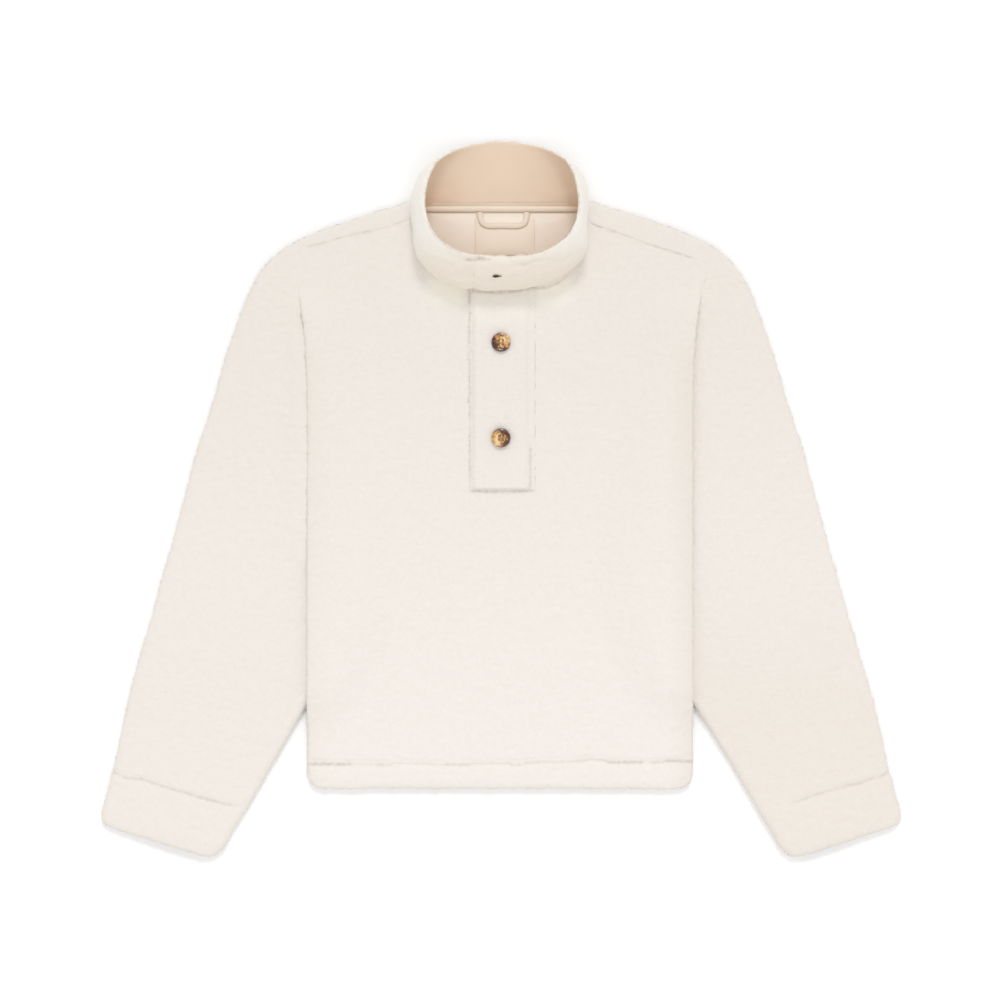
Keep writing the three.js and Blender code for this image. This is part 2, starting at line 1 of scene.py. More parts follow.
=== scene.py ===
# A sherpa fleece pullover laid flat on its back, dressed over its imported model.
# Tables and shapes are in millimetres, as the solids are, and each mesh is scaled to metres when it is made.
import json
import math

import bpy
import numpy as np
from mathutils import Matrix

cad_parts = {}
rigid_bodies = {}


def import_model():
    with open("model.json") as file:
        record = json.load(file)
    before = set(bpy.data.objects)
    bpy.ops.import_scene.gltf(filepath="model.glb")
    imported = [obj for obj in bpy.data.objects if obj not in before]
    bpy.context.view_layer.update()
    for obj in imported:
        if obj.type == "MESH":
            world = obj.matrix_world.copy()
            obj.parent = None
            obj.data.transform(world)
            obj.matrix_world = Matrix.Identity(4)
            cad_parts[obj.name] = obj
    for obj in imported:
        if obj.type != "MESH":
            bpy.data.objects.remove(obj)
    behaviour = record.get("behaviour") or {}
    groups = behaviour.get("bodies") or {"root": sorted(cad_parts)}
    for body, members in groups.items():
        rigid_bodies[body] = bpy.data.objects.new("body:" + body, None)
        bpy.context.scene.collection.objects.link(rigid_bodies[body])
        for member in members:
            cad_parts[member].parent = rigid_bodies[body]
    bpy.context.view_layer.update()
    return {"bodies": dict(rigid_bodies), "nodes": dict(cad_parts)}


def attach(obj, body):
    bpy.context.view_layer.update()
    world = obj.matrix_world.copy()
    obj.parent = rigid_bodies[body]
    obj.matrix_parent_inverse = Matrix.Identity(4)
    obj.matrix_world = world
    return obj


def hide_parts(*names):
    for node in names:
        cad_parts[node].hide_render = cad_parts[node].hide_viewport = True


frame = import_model()
bodyName = next(iter(frame["bodies"]))
millimetre = 0.001

cloth = {
    "wall": 4.2,  # one layer of fleece with its pile
    "frontBottom": 5.8,  # where the front panel's lower face lies
    "bodyHeight": 10.0,
    "seamGap": 0.3,
}


# The camera's height over the surface and the width that it sees there
view = {"height": 2600, "width": 1052, "sensor": 36}


def placeCamera():
    # straight above the garment, its collar towards the top of the image
    camera = bpy.data.objects.new("camera", bpy.data.cameras.new("camera"))
    camera.data.sensor_width = view["sensor"]
    camera.data.lens = view["sensor"] * view["height"] / view["width"]
    camera.location = (0, 0, view["height"] * millimetre)
    bpy.context.collection.objects.link(camera)
    bpy.context.scene.camera = camera


def placeLights():
    studio = {
        "window": {"kind": "SUN", "place": (0, 2, 3), "tilt": (-42, 4, 0), "strength": 0.76, "angle": 14},
        "fill": {"kind": "AREA", "place": (0.1, -1.3, 2.3), "tilt": (28, 0, 0), "strength": 13, "size": 2.4},
    }
    for name, light in studio.items():
        lamp = bpy.data.lights.new(name, light["kind"])
        lamp.energy = light["strength"]
        if light["kind"] == "SUN":
            lamp.angle = math.radians(light["angle"])
        else:
            lamp.shape = "SQUARE"
            lamp.size = light["size"]
        holder = bpy.data.objects.new(name, lamp)
        holder.location = light["place"]
        holder.rotation_euler = [math.radians(angle) for angle in light["tilt"]]
        bpy.context.collection.objects.link(holder)
    world = bpy.data.worlds.new("studio")
    world.use_nodes = True
    setInputs(world.node_tree.nodes["Background"], {"Color": (1, 0.995, 0.99, 1), "Strength": 0.785})
    bpy.context.scene.world = world
    bpy.context.scene.view_settings.view_transform = "Standard"


# Curves and small shaping functions
def smooth(t):
    s = np.clip(t, 0, 1)
    return s * s * (3 - 2 * s)


def mix(a, b, t):
    return a + (b - a) * t


def edgeDrop(distance, width):
    # a quarter circle's fall from 0 to 1 towards an edge
    s = np.clip(1 - np.asarray(distance, float) / width, 0, 1)
    return 1 - np.sqrt(1 - s * s)


def trough(distance, halfWidth):
    # a round hollow or ridge, 1 along its middle
    return np.maximum(0, 1 - (np.asarray(distance, float) / halfWidth) ** 2)


def unit(vectors):
    return vectors / np.maximum(np.linalg.norm(vectors, axis=-1, keepdims=True), 1e-9)


def runAlong(points):
    # the length of a line of points up to each of them
    return np.concatenate([[0], np.cumsum(np.linalg.norm(np.diff(points, axis=0), axis=1))])


def placesAlong(points, at):
    # the points at some lengths along a line of points
    lengths = runAlong(points)
    return np.stack([np.interp(at, lengths, axis) for axis in points.T], axis=1)


def curveThrough(points, closed=False, density=60):
    # a centripetal curve through the points, sampled evenly between each two of them
    points = np.asarray(points, float)
    count = len(points)
    spans = count if closed else count - 1
    samples = []
    for span in range(spans):
        second, third = points[span], points[(span + 1) % count]
        if closed or span > 0:
            first = points[(span - 1) % count]
        else:
            first = 2 * points[0] - points[1]
        if closed or span + 2 < count:
            fourth = points[(span + 2) % count]
        else:
            fourth = 2 * points[-1] - points[-2]
        before, between, after = (
            np.linalg.norm(b - a) ** 0.5 for a, b in [(first, second), (second, third), (third, fourth)]
        )
        leave = (second - first) / before - (third - first) / (before + between) + (third - second) / between
        arrive = (third - second) / between - (fourth - second) / (between + after) + (fourth - third) / after
        leave, arrive = leave * between, arrive * between
        t = (np.arange(density) / density)[:, None]
        cubic = 2 * second - 2 * third + leave + arrive
        square = -3 * second + 3 * third - 2 * leave - arrive
        samples.append(second + leave * t + square * t**2 + cubic * t**3)
    samples.append((points[0] if closed else points[-1])[None])
    samples = np.vstack(samples)
    return {"points": samples, "lengths": runAlong(samples), "spans": np.linspace(0, 1, len(samples))}


def alongCurve(curve, share, key="lengths"):
    measure = curve[key] / curve[key][-1]
    return np.stack([np.interp(share, measure, axis) for axis in curve["points"].T], axis=-1)


def softNoise(x, y, sizeX, sizeY, seed):
    # seeded value noise from -1 to 1, its patches sizeX by sizeY
    rows, columns = 199, 211
    table = np.random.default_rng(seed).uniform(-1, 1, (rows, columns))
    gridX, gridY = np.asarray(x) / sizeX + 57.3, np.asarray(y) / sizeY + 31.7
    left, low = np.floor(gridX).astype(int), np.floor(gridY).astype(int)
    shareX, shareY = smooth(gridX - left), smooth(gridY - low)
    value = lambda dx, dy: table[(low + dy) % rows, (left + dx) % columns]
    lower = mix(value(0, 0), value(1, 0), shareX)
    upper = mix(value(0, 1), value(1, 1), shareX)
    return mix(lower, upper, shareY)


def pileHeight(across, along, seed):
    # curly pile in small clumps, with short streaks across the garment
    sway = 2.5 * softNoise(across, along, 17, 13, seed)
    clumps = softNoise(across + sway, along + 0.6 * sway, 6.5, 4.6, seed + 1)
    turned = softNoise(across * 0.8 + along * 0.6, along * 0.8 - across * 0.6, 5.2, 4.4, seed + 2)
    streaks = softNoise(across, along + 0.5 * sway, 24, 4.6, seed + 3)
    return 0.32 * clumps + 0.28 * turned + 0.16 * streaks


# Meshes
def gridNormals(points):
    return unit(np.cross(np.gradient(points, axis=1), np.gradient(points, axis=0)))


def addMesh(name, corners, faces, layers=None):
    mesh = bpy.data.meshes.new(name)
    mesh.from_pydata((np.asarray(corners, float) * millimetre).tolist(), [], np.asarray(faces).tolist())
    mesh.validate()
    for layer, values in (layers or {}).items():
        mesh.attributes.new(layer, "FLOAT", "POINT").data.foreach_set("value", np.asarray(values, float).ravel())
    mesh.polygons.foreach_set("use_smooth", [True] * len(mesh.polygons))
    piece = bpy.data.objects.new(name, mesh)
    bpy.context.collection.objects.link(piece)
    return piece


def addSheet(name, points, keep=None, tube=False, flip=False, layers=None):
    # a sheet from a grid of points; keep tells which points stay, and a face needs one of them
    rows, columns = points.shape[:2]
    index = np.arange(rows * columns).reshape(rows, columns)
    if tube:
        index = np.hstack([index, index[:, :1]])
    corners = [index[:-1, :-1], index[:-1, 1:], index[1:, 1:], index[1:, :-1]]
    if flip:
        corners.reverse()
    faces = np.stack([corner.ravel() for corner in corners], axis=1)
    if keep is not None:
        faces = faces[keep.ravel()[faces].any(axis=1)]
    used = np.unique(faces)
    renumber = np.full(rows * columns, -1)
    renumber[used] = np.arange(len(used))
    chosen = {layer: values.ravel()[used] for layer, values in (layers or {}).items()}
    return addMesh(name, points.reshape(-1, 3)[used], renumber[faces], chosen)


def dress(piece, nodes, material):
    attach(piece, bodyName)
    if nodes:
        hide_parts(*nodes)
    piece.data.materials.append(material)


# Materials
def newMaterial(name):
    material = bpy.data.materials.new(name)
    material.use_nodes = True
    tree = material.node_tree
    return material, tree, tree.nodes["Principled BSDF"]


def setInputs(node, values):
    for socket, value in values.items():
        node.inputs[socket].default_value = value


def addNode(tree, kind, values=None, **settings):
    # a node with its settings and the values of its sockets
    node = tree.nodes.new(kind)
    for key, value in settings.items():
        if key in node.inputs:
            node.inputs[key].default_value = value
        else:
            setattr(node, key, value)
    setInputs(node, values or {})
    return node


def wire(tree, *wires):
    # each wire: a node and its output, then a node and its input
    for source, output, target, socket in wires:
        tree.links.new(source.outputs[output], target.inputs[socket])


def newTree(name, kind, inputs, outputs):
    # a tree with named sockets, and the nodes where they enter and leave
    tree = bpy.data.node_groups.new(name, kind)
    for way, sockets in (("INPUT", inputs), ("OUTPUT", outputs)):
        for socket, carries in sockets.items():
            tree.interface.new_socket(socket, in_out=way, socket_type=f"NodeSocket{carries}")
    return tree, tree.nodes.new("NodeGroupInput"), tree.nodes.new("NodeGroupOutput")


def makePileGroup():
    # pile relief from a point in metres: clumps, and curls on them
    sockets = {"Place": "Vector", "Clumps per metre": "Float", "Curls per metre": "Float"}
    tree, entry, leave = newTree("curlyPile", "ShaderNodeTree", sockets, {"Height": "Float"})
    stretch = addNode(tree, "ShaderNodeVectorMath", {1: (0.8, 1, 1)}, operation="MULTIPLY")
    clumps = addNode(tree, "ShaderNodeTexNoise", Detail=3.0, Roughness=0.55, Distortion=0.6)
    curls = addNode(tree, "ShaderNodeTexNoise", Detail=2.0, Roughness=0.5, Distortion=1.6)
    blend = addNode(tree, "ShaderNodeMix", Factor=0.42)
    wire(
        tree,
        (entry, "Place", stretch, 0), (stretch, "Vector", clumps, "Vector"),
        (entry, "Clumps per metre", clumps, "Scale"), (entry, "Place", curls, "Vector"),
        (entry, "Curls per metre", curls, "Scale"), (clumps, 0, blend, "A"), (curls, 0, blend, "B"),
        (blend, "Result", leave, "Height"),
    )
    return tree


pileGroup = makePileGroup()


def makeSeamGroup():
    # painted shade along a sewn line or crease, where the pile parts and its groove is shaded: how dark it is at a
    # point, from its signed distance in millimetres, its strength and a place for its waver
    sockets = {"Distance": "Float", "Strength": "Float", "Place": "Vector", "Half width": "Float"}
    tree, entry, leave = newTree("sewnLineShade", "ShaderNodeTree", sockets, {"Dark": "Float"})
    waver = addNode(tree, "ShaderNodeTexNoise", Scale=330.0, Detail=2.0)
    shift = addNode(tree, "ShaderNodeMath", {1: 1.6, 2: -0.8}, operation="MULTIPLY_ADD")
    moved = addNode(tree, "ShaderNodeMath", operation="ADD")
    away = addNode(tree, "ShaderNodeMath", operation="ABSOLUTE")
    line = addNode(tree, "ShaderNodeMapRange", {"To Min": 1, "To Max": 0}, interpolation_type="SMOOTHSTEP")
    tufts = addNode(tree, "ShaderNodeTexNoise", Scale=240.0, Detail=1.0)
    covered = addNode(tree, "ShaderNodeMapRange", {"From Min": 0.38, "From Max": 0.55, "To Min": 0.5})
    dark = addNode(tree, "ShaderNodeMath", operation="MULTIPLY")
    seen = addNode(tree, "ShaderNodeMath", operation="MULTIPLY")
    wire(
        tree,
        (entry, "Place", waver, "Vector"), (entry, "Place", tufts, "Vector"), (waver, 0, shift, 0),
        (entry, "Distance", moved, 0), (shift, 0, moved, 1), (moved, 0, away, 0), (away, 0, line, "Value"),
        (entry, "Half width", line, "From Max"), (tufts, 0, covered, "Value"), (line, "Result", dark, 0),
        (entry, "Strength", dark, 1), (dark, 0, seen, 0), (covered, "Result", seen, 1), (seen, 0, leave, "Dark"),
    )
    return tree


seamGroup = makeSeamGroup()


def makeFleece(name, tips, shadedRoots, shade, seamShadeTone, paleTone):
    material, tree, skin = newMaterial(name)
    place = tree.nodes.new("ShaderNodeTexCoord")
    pile = addNode(tree, "ShaderNodeGroup", {"Clumps per metre": 260, "Curls per metre": 620}, node_tree=pileGroup)
    contrast = addNode(tree, "ShaderNodeMapRange", {"From Min": 0.33, "From Max": 0.62})
    # colour from the pile's height: the tips' colour on its heights, and in its hollows the roots' colour, partly
    # the fibres' own tone and partly painted shade in the hollows
    tone = addNode(tree, "ShaderNodeMix", {"A": (*shadedRoots, 1), "B": (*tips, 1)}, data_type="RGBA")
    # painted shade from the 'shade' attribute: darker towards the neck, near the body's sides and low on the
    # sleeves, with some of the fleece's own warmer tone towards the neck
    paintedShade = addNode(tree, "ShaderNodeAttribute", attribute_name="shade")
    darker = addNode(tree, "ShaderNodeMix", {"B": (*shade, 1)}, data_type="RGBA")
    # paler colour from the 'pale' attribute: painted light beside and below the collar on the front panel and
    # placket, where the collar's shadow falls; on the collar, a paler, more neutral tone towards its back and sides,
    # partly painted light on its shaded sides
    paleToneAndLight = addNode(tree, "ShaderNodeAttribute", attribute_name="pale")
    lighter = addNode(tree, "ShaderNodeMix", {"B": (*paleTone, 1)}, data_type="RGBA")
    # painted shade along sewn lines, in creases and under the collar's edge, mixed towards the seam's shade tone
    distance = addNode(tree, "ShaderNodeAttribute", attribute_name="seam")
    strength = addNode(tree, "ShaderNodeAttribute", attribute_name="seamShade")
    seam = addNode(tree, "ShaderNodeGroup", {"Half width": 3.1}, node_tree=seamGroup)
    sewn = addNode(tree, "ShaderNodeMix", {"B": (*seamShadeTone, 1)}, data_type="RGBA")
    bump = addNode(tree, "ShaderNodeBump", Strength=0.5, Distance=0.001)
    wire(
        tree,
        (place, "Object", pile, "Place"), (pile, "Height", contrast, "Value"), (contrast, "Result", tone, "Factor"),
        (tone, "Result", darker, "A"), (paintedShade, "Fac", darker, "Factor"), (place, "Object", seam, "Place"),
        (distance, "Fac", seam, "Distance"), (strength, "Fac", seam, "Strength"), (darker, "Result", lighter, "A"),
        (paleToneAndLight, "Fac", lighter, "Factor"), (lighter, "Result", sewn, "A"), (seam, "Dark", sewn, "Factor"),
        (sewn, "Result", skin, "Base Color"), (pile, "Height", bump, "Height"), (bump, "Normal", skin, "Normal"),
    )
    setInputs(skin, {
        "Roughness": 0.95, "Sheen Weight": 0.2, "Sheen Roughness": 0.6,
        "Sheen Tint": (1, 0.97, 0.93, 1), "Specular IOR Level": 0.2,
    })
    return material


def makeKnit(name, colour, deep, ribs, strength, roughness):
    material, tree, skin = newMaterial(name)
    place = tree.nodes.new("ShaderNodeTexCoord")
    courses = addNode(tree, "ShaderNodeTexWave", Scale=ribs, Distortion=0.8, Detail=1.0)
    cloud = addNode(tree, "ShaderNodeTexNoise", Scale=28.0, Detail=3.0)
    tone = addNode(tree, "ShaderNodeMix", {"A": (*deep, 1), "B": (*colour, 1)}, data_type="RGBA")
    # painted shade from the 'shade' attribute, along the edges of the tape and loop and low on the lining's sides
    paintedShade = addNode(tree, "ShaderNodeAttribute", attribute_name="shade")
    shade = [part * share for part, share in zip(deep, (0.68, 0.56, 0.45))]
    darker = addNode(tree, "ShaderNodeMix", {"B": (*shade, 1)}, data_type="RGBA")
    bump = addNode(tree, "ShaderNodeBump", Strength=strength, Distance=0.0004)
    wire(
        tree,
        (place, "Object", courses, "Vector"), (place, "Object", cloud, "Vector"), (cloud, 0, tone, "Factor"),
        (tone, "Result", darker, "A"), (paintedShade, "Fac", darker, "Factor"), (darker, "Result", skin, "Base Color"),
        (courses, "Fac", bump, "Height"), (bump, "Normal", skin, "Normal"),
    )
    setInputs(skin, {"Roughness": roughness, "Sheen Weight": 0.1})
    return material


def makeTortoiseshell(name, glow):
    # mottled horn, its clear amber patch at one place of the button
    material, tree, skin = newMaterial(name)
    place = tree.nodes.new("ShaderNodeTexCoord")
    away = addNode(tree, "ShaderNodeVectorMath", {1: [millimetre * c for c in glow]}, operation="DISTANCE")
    clear = addNode(tree, "ShaderNodeMapRange", {"From Max": 0.0125, "To Min": 0.44, "To Max": -0.1})
    blotches = addNode(tree, "ShaderNodeTexNoise", Scale=210.0, Detail=2.0, Distortion=1.2)
    tinted = addNode(tree, "ShaderNodeMath", operation="ADD")
    ramp = tree.nodes.new("ShaderNodeValToRGB")
    stops = ramp.color_ramp.elements
    stops[0].position, stops[0].color = 0.34, (0.03, 0.01, 0.004, 1)
    stops[1].position, stops[1].color = 0.86, (0.86, 0.6, 0.27, 1)
    for position, colour in ((0.5, (0.13, 0.045, 0.014, 1)), (0.62, (0.45, 0.2, 0.055, 1))):
        stops.new(position).color = colour
    wire(
        tree,
        (place, "Object", blotches, "Vector"), (place, "Object", away, 0), (away, "Value", clear, "Value"),
        (clear, "Result", tinted, 0), (blotches, 0, tinted, 1), (tinted, 0, ramp, "Fac"),
        (ramp, "Color", skin, "Base Color"),
    )
    setInputs(skin, {"Roughness": 0.28, "Coat Weight": 0.4})
    return material


def makeThread(name, colour):
    material, tree, skin = newMaterial(name)
    place = tree.nodes.new("ShaderNodeTexCoord")
    twist = addNode(tree, "ShaderNodeTexWave", Scale=2400.0, Distortion=1.0)
    deep = [0.7 * part for part in colour]
    tone = addNode(tree, "ShaderNodeMix", {"A": (*deep, 1), "B": (*colour, 1)}, data_type="RGBA")
    wire(
        tree,
        (place, "Object", twist, "Vector"), (twist, "Fac", tone, "Factor"), (tone, "Result", skin, "Base Color"),
    )
    setInputs(skin, {"Roughness": 0.7})
    return material


ivoryFleece = makeFleece(
    "ivoryFleece", (0.848, 0.806, 0.764), (0.818, 0.77, 0.722), (0.63, 0.51, 0.37), (0.6, 0.545, 0.485),
    (0.92, 0.88, 0.79),
)
# the collar's fleece, warmer than the body's: partly the collar's own tone and partly painted warm light bounced
# from the peach lining
creamFleece = makeFleece(
    "creamFleece", (0.87, 0.796, 0.702), (0.84, 0.762, 0.666), (0.63, 0.51, 0.37), (0.6, 0.53, 0.45),
    (0.885, 0.85, 0.79),
)
peachJersey = makeKnit("peachJersey", (0.805, 0.65, 0.51), (0.765, 0.6, 0.46), 900.0, 0.15, 0.85)
innerJersey = makeKnit("innerJersey", (0.935, 0.86, 0.77), (0.915, 0.83, 0.73), 900.0, 0.15, 0.85)
twillTape = makeKnit("twillTape", (0.93, 0.84, 0.73), (0.9, 0.79, 0.67), 1200.0, 0.3, 0.8)
satinLabel = makeKnit("satinLabel", (0.955, 0.868, 0.745), (0.94, 0.85, 0.725), 1500.0, 0.2, 0.6)
ivoryThread = makeThread("ivoryThread", (0.83, 0.78, 0.72))
umberThread = makeThread("umberThread", (0.12, 0.075, 0.04))
tanThread = makeThread("tanThread", (0.4, 0.25, 0.12))
print("materials made")


# Shapes that the body's panels share
bodyShape = {
    "half": 203,
    "hemDepth": 26.5,
    "sideRoundLeft": 14,
    "sideRoundRight": 20,
    "backRound": 8,
    "edgeLip": 0.8,
    "grooveDepth": 1.2,
    "grooveHalf": 6,
    "foldRadius": 5.0,
    "wrapStart": 14,
    "backNeckY": 302.7,
    "headLength": 45,
    "length": 566,
    "tuckHeight": 9.4,
    "tuckSlope": 62,
    "tuckMargin": 8,
    "liftTopY": 226,
    "liftBottomY": -248,
    "liftRampTop": 38,
    "liftRampBottom": 54,
    "swell": 0.9,
}
panelWidth = 2 * bodyShape["half"]

# distance from the middle and height up the garment, from the neck to the sleeve's head
shoulderEdge = [
    (0, 320), (60, 318), (97, 312.6), (111, 307.4), (132, 301.9), (149.5, 296), (167, 289.8), (185, 283.5),
    (200.5, 277), (215, 270.5), (225, 264.6), (233, 258.3), (240.5, 251.8), (247, 245), (252, 238.6),
    (255.8, 233), (258.5, 228),
]
# the shoulder seam's distance in front of that edge, left and right
seamDepths = [(97, 18, 20.5), (131, 18, 23.5), (163, 14.5, 25), (200, 11, 21.5), (240, 13, 17), (260, 16, 17)]
# the body's side from the hem's corner to the armhole's corner and out along the sleeve's head
bodySide = [
    (197.4, -298.6), (200.6, -292.5), (201.5, -285), (201.7, -250), (201.7, -150), (201.6, 0), (201.8, 110),
    (203.6, 160), (206.2, 186), (209.2, 206), (212.5, 222), (215.5, 230.5), (224, 231.5), (234, 230.3),
]
# outer x and y, inner x and y, height, from the sleeve's head to the cuff's edge
sleeveRows = [
    (258.8, 226.4, 217.5, 226.6, 9), (267, 209, 210.9, 207, 9), (277, 181, 207.2, 177, 9),
    (289, 147, 199, 138, 9), (300.3, 105, 185, 94, 9), (315, 62, 172, 46, 9), (328, 15, 164, -10, 9),
    (343, -42, 162, -74, 9), (355, -84, 166, -120, 9), (366.5, -126, 178, -163, 9), (379, -168, 196, -203, 9),
    (390, -210, 219, -243, 9.2), (398.5, -250, 244, -286, 9.4), (404, -276, 260.5, -315, 9.6),
    (406, -284, 265.8, -323.5, 10), (408.3, -292, 271, -332, 10.6), (414, -314, 283, -352, 10.8),
    (418.2, -331, 289.5, -364, 10.6), (416.5, -338.5, 299, -372.6, 9.6), (412, -342.5, 306.5, -375.2, 7),
]

shoulderLine = curveThrough([(-x, y) for x, y in reversed(shoulderEdge)] + shoulderEdge[1:])
hemLine = curveThrough([(-197.4, -298.6), (-188, -302), (-120, -302.5), (120, -302.5), (188, -302), (197.4, -298.6)])


def bodyLift(x, y):
    # how far the tucked sleeves lift the body
    b = bodyShape
    rows = np.array(sleeveRows)[::-1]
    tucked = np.where((y > 228) | (y < -220), b["half"] + 1, np.interp(y, rows[:, 3], rows[:, 2]))
    across = smooth((np.abs(x) - tucked + b["tuckSlope"] + b["tuckMargin"]) / b["tuckSlope"])
    along = smooth((b["liftTopY"] - y) / b["liftRampTop"]) * smooth((y - b["liftBottomY"]) / b["liftRampBottom"])
    return b["tuckHeight"] * across * along


def frontSwell(x, y):
    # the front lies in very low, wide swells
    return bodyShape["swell"] * softNoise(x, y, 95, 120, 25) * smooth((220 - y) / 60) * smooth((y + 250) / 60)


def seamDepthAt(x):
    # the shoulder seam's distance in front of the shoulder edge
    table = np.array(seamDepths)
    side = np.abs(x)
    return np.where(x < 0, np.interp(side, table[:, 0], table[:, 1]), np.interp(side, table[:, 0], table[:, 2]))


def inFromShoulder(u, distance):
    # places a distance in from the shoulder edge, straight sideways at the sleeve's head
    edge = alongCurve(shoulderLine, u)
    step = 0.002
    ahead, behind = np.minimum(u + step, 1), np.maximum(u - step, 0)
    along = unit(alongCurve(shoulderLine, ahead) - alongCurve(shoulderLine, behind))
    fromEnd = np.minimum(u, 1 - u) * shoulderLine["lengths"][-1]
    level = smooth(1 - fromEnd / bodyShape["headLength"])
    inwards = np.stack([along[..., 1], -along[..., 0]], axis=-1) * (1 - level)[..., None]
    inwards[..., 0] += np.where(u < 0.5, level, -level)
    return edge + unit(inwards) * np.asarray(distance)[..., None]


def panelPlan(across, up, topPoint):
    # points of a panel seen from above, blended between its four edges
    u, v = across / panelWidth, up / bodyShape["length"]
    top = topPoint(u)
    ends = topPoint(np.array([0.0, 1.0]))
    low = alongCurve(hemLine, u)
    left = alongCurve(curveThrough([(-x, y) for x, y in bodySide] + [tuple(ends[0])]), v)
    right = alongCurve(curveThrough(bodySide + [tuple(ends[1])]), v)
    corners = alongCurve(hemLine, np.array([0.0, 1.0]))
    u, v = u[None, :, None], v[:, None, None]
    plan = low[None] * (1 - v) + top[None] * v + left[:, None] * (1 - u) + right[:, None] * u
    return plan - mix(mix(corners[0], corners[1], u), mix(ends[0], ends[1], u), v)


def spread(start, end, step, edge=0, edgeStep=1.2):
    # grid lines, closer together within edge of both ends
    if not edge:
        return np.linspace(start, end, max(2, round((end - start) / step)) + 1)
    near = np.linspace(0, edge, round(edge / edgeStep) + 1)
    middle = np.linspace(start + edge, end - edge, round((end - start - 2 * edge) / step) + 1)
    return np.concatenate([start + near[:-1], middle, (end - near[:-1])[::-1]])


# Sewn lines, creases and the collar's lower edge as they lie on the garment, seen from above: x, y and how dark.
# Along them the pile is painted darker, partly the sewn line's own darker look and partly painted shade in its
# groove, in the collar's creases and under the collar's edge
seamLines = {
    "hem": [
        (-201, -276.7, 1), (-158.3, -277.3, 1), (-154, -276.7, 0.3), (-131, -277.2, 0.25), (-128.9, -277.7, 0.7),
        (-115.3, -277.7, 0.7), (-112.1, -275.6, 0.35), (-83.8, -276.1, 0.35), (-58.7, -277.7, 0.3),
        (-56.6, -277.3, 0.65), (-32.5, -277.3, 0.65), (-26.2, -276, 0.4), (9.4, -276, 0.4), (12.6, -278.1, 0.7),
        (19.9, -277.7, 0.7), (23.1, -276.7, 0.1), (27.2, -275.6, 0.6), (41.9, -274.6, 0.5), (78.6, -274.3, 0.4),
        (94.3, -271.9, 0.55), (109, -272.5, 0.6), (113.2, -274.9, 0.9), (148.8, -274.9, 0.9), (151.4, -274.6, 0.1),
        (157.2, -274.6, 0.1), (159.3, -275.4, 0.7), (167.7, -274.6, 0.6), (176.1, -273.5, 0.9), (201, -274.1, 1),
    ],
    "cuffLeft": [
        (-408, -284.4, 0.7), (-391.2, -291.3, 0.6), (-374.6, -292.4, 0.75), (-358, -298.7, 0.6),
        (-335.4, -305, 0.65), (-309.3, -313, 0.85), (-286.2, -318.6, 0.6), (-272.5, -321.7, 0.1),
    ],
    "cuffRight": [
        (410, -284.6, 0.8), (398.9, -289.5, 0.7), (396, -290.5, 0.3), (383.6, -293.8, 0.75), (375.9, -297.1, 0.75),
        (365.7, -298.9, 0.6), (342.6, -305.3, 0.6), (322, -311.7, 0.7), (301.6, -319.4, 0.2),
    ],
    "shoulderLeft": [
        (-201.2, 265.6, 0.5), (-184, 269.5, 0.6), (-181, 270, 0.1), (-160, 276.5, 0.1), (-156, 277.9, 0.5),
        (-136.2, 281.2, 0.55), (-131, 282.4, 0.05), (-113, 288, 0), (-95, 295, 0.3),
    ],
    "shoulderRight": [
        (97, 289.3, 0.75), (106, 286.2, 0.7), (108, 285.4, 0.3), (112, 284.1, 0.3), (115, 283.2, 0.8),
        (121, 281.2, 0.7), (123.7, 280.4, 0.1), (129, 278.4, 0.1), (131, 277.7, 0.5), (137, 275.8, 0.4),
        (140, 274.8, 0), (160, 267.4, 0), (163.5, 266, 0.4), (168, 264.5, 0.35), (171, 263.5, 0), (177, 261.4, 0.4),
        (188, 257.7, 0.4), (191, 256.7, 0.1), (194, 255.7, 0.4), (199, 254, 0.3), (204, 252, 0),
    ],
    "placketLeft": [
        (-32, 222, 1), (-32, 209, 0.9), (-32.3, 204.5, 0.2), (-33, 182.4, 0.2), (-33.5, 178.2, 0.35),
        (-33.5, 146.7, 0.35), (-32.2, 140.4, 0.1), (-32, 113.2, 0.35), (-33, 106.9, 0.65), (-33, 102.7, 0.65),
        (-32, 98.5, 0.2), (-31.6, 90.1, 0.55), (-31.6, 83.8, 0.2), (-31.8, 67.1, 0.35), (-32, 44, 0.3),
        (-32, 33.5, 0.65), (-31.6, 16.8, 0.1),
    ],
    "placketFoot": [
        (-31, 10, 0.5), (-27, 9.3, 0.7), (-14, 8.4, 0.75), (11.5, 8, 0.75), (24.4, 9.2, 0.85), (33, 10, 0.9),
    ],
    "placketRight": [(31.8, 60, 0), (31.8, 52, 0.8), (32, 30, 0.6), (31.8, 13, 0.9)],
    # painted shadow under the collar's lower edge, on the front panel and placket
    "collarFoot": [
        (-31, 219, 0.9), (-3.1, 216.7, 1), (19.9, 218.8, 1), (34.6, 222, 0.8), (50.3, 223, 0.7), (59.7, 227.2, 0.7),
        (70.2, 234.5, 0.5), (81.7, 240.8, 0.4), (86.9, 251.3, 0.3), (93.2, 270, 0),
    ],
    # the collar's creases and the edge of its free end, darkened with painted shade
    "collarRoll": [(-55.4, 259.8, 0.25), (-46, 257, 0.4), (-36.1, 253, 0.35)],
    "collarEnd": [(-35.4, 252.4, 0.95), (-24, 252.8, 1), (-13.4, 253, 0.8)],
    "collarFold": [(14, 246.7, 0.2), (25.5, 247.5, 0.5), (36.8, 251.4, 0.35), (54, 254.7, 0.1)],
}


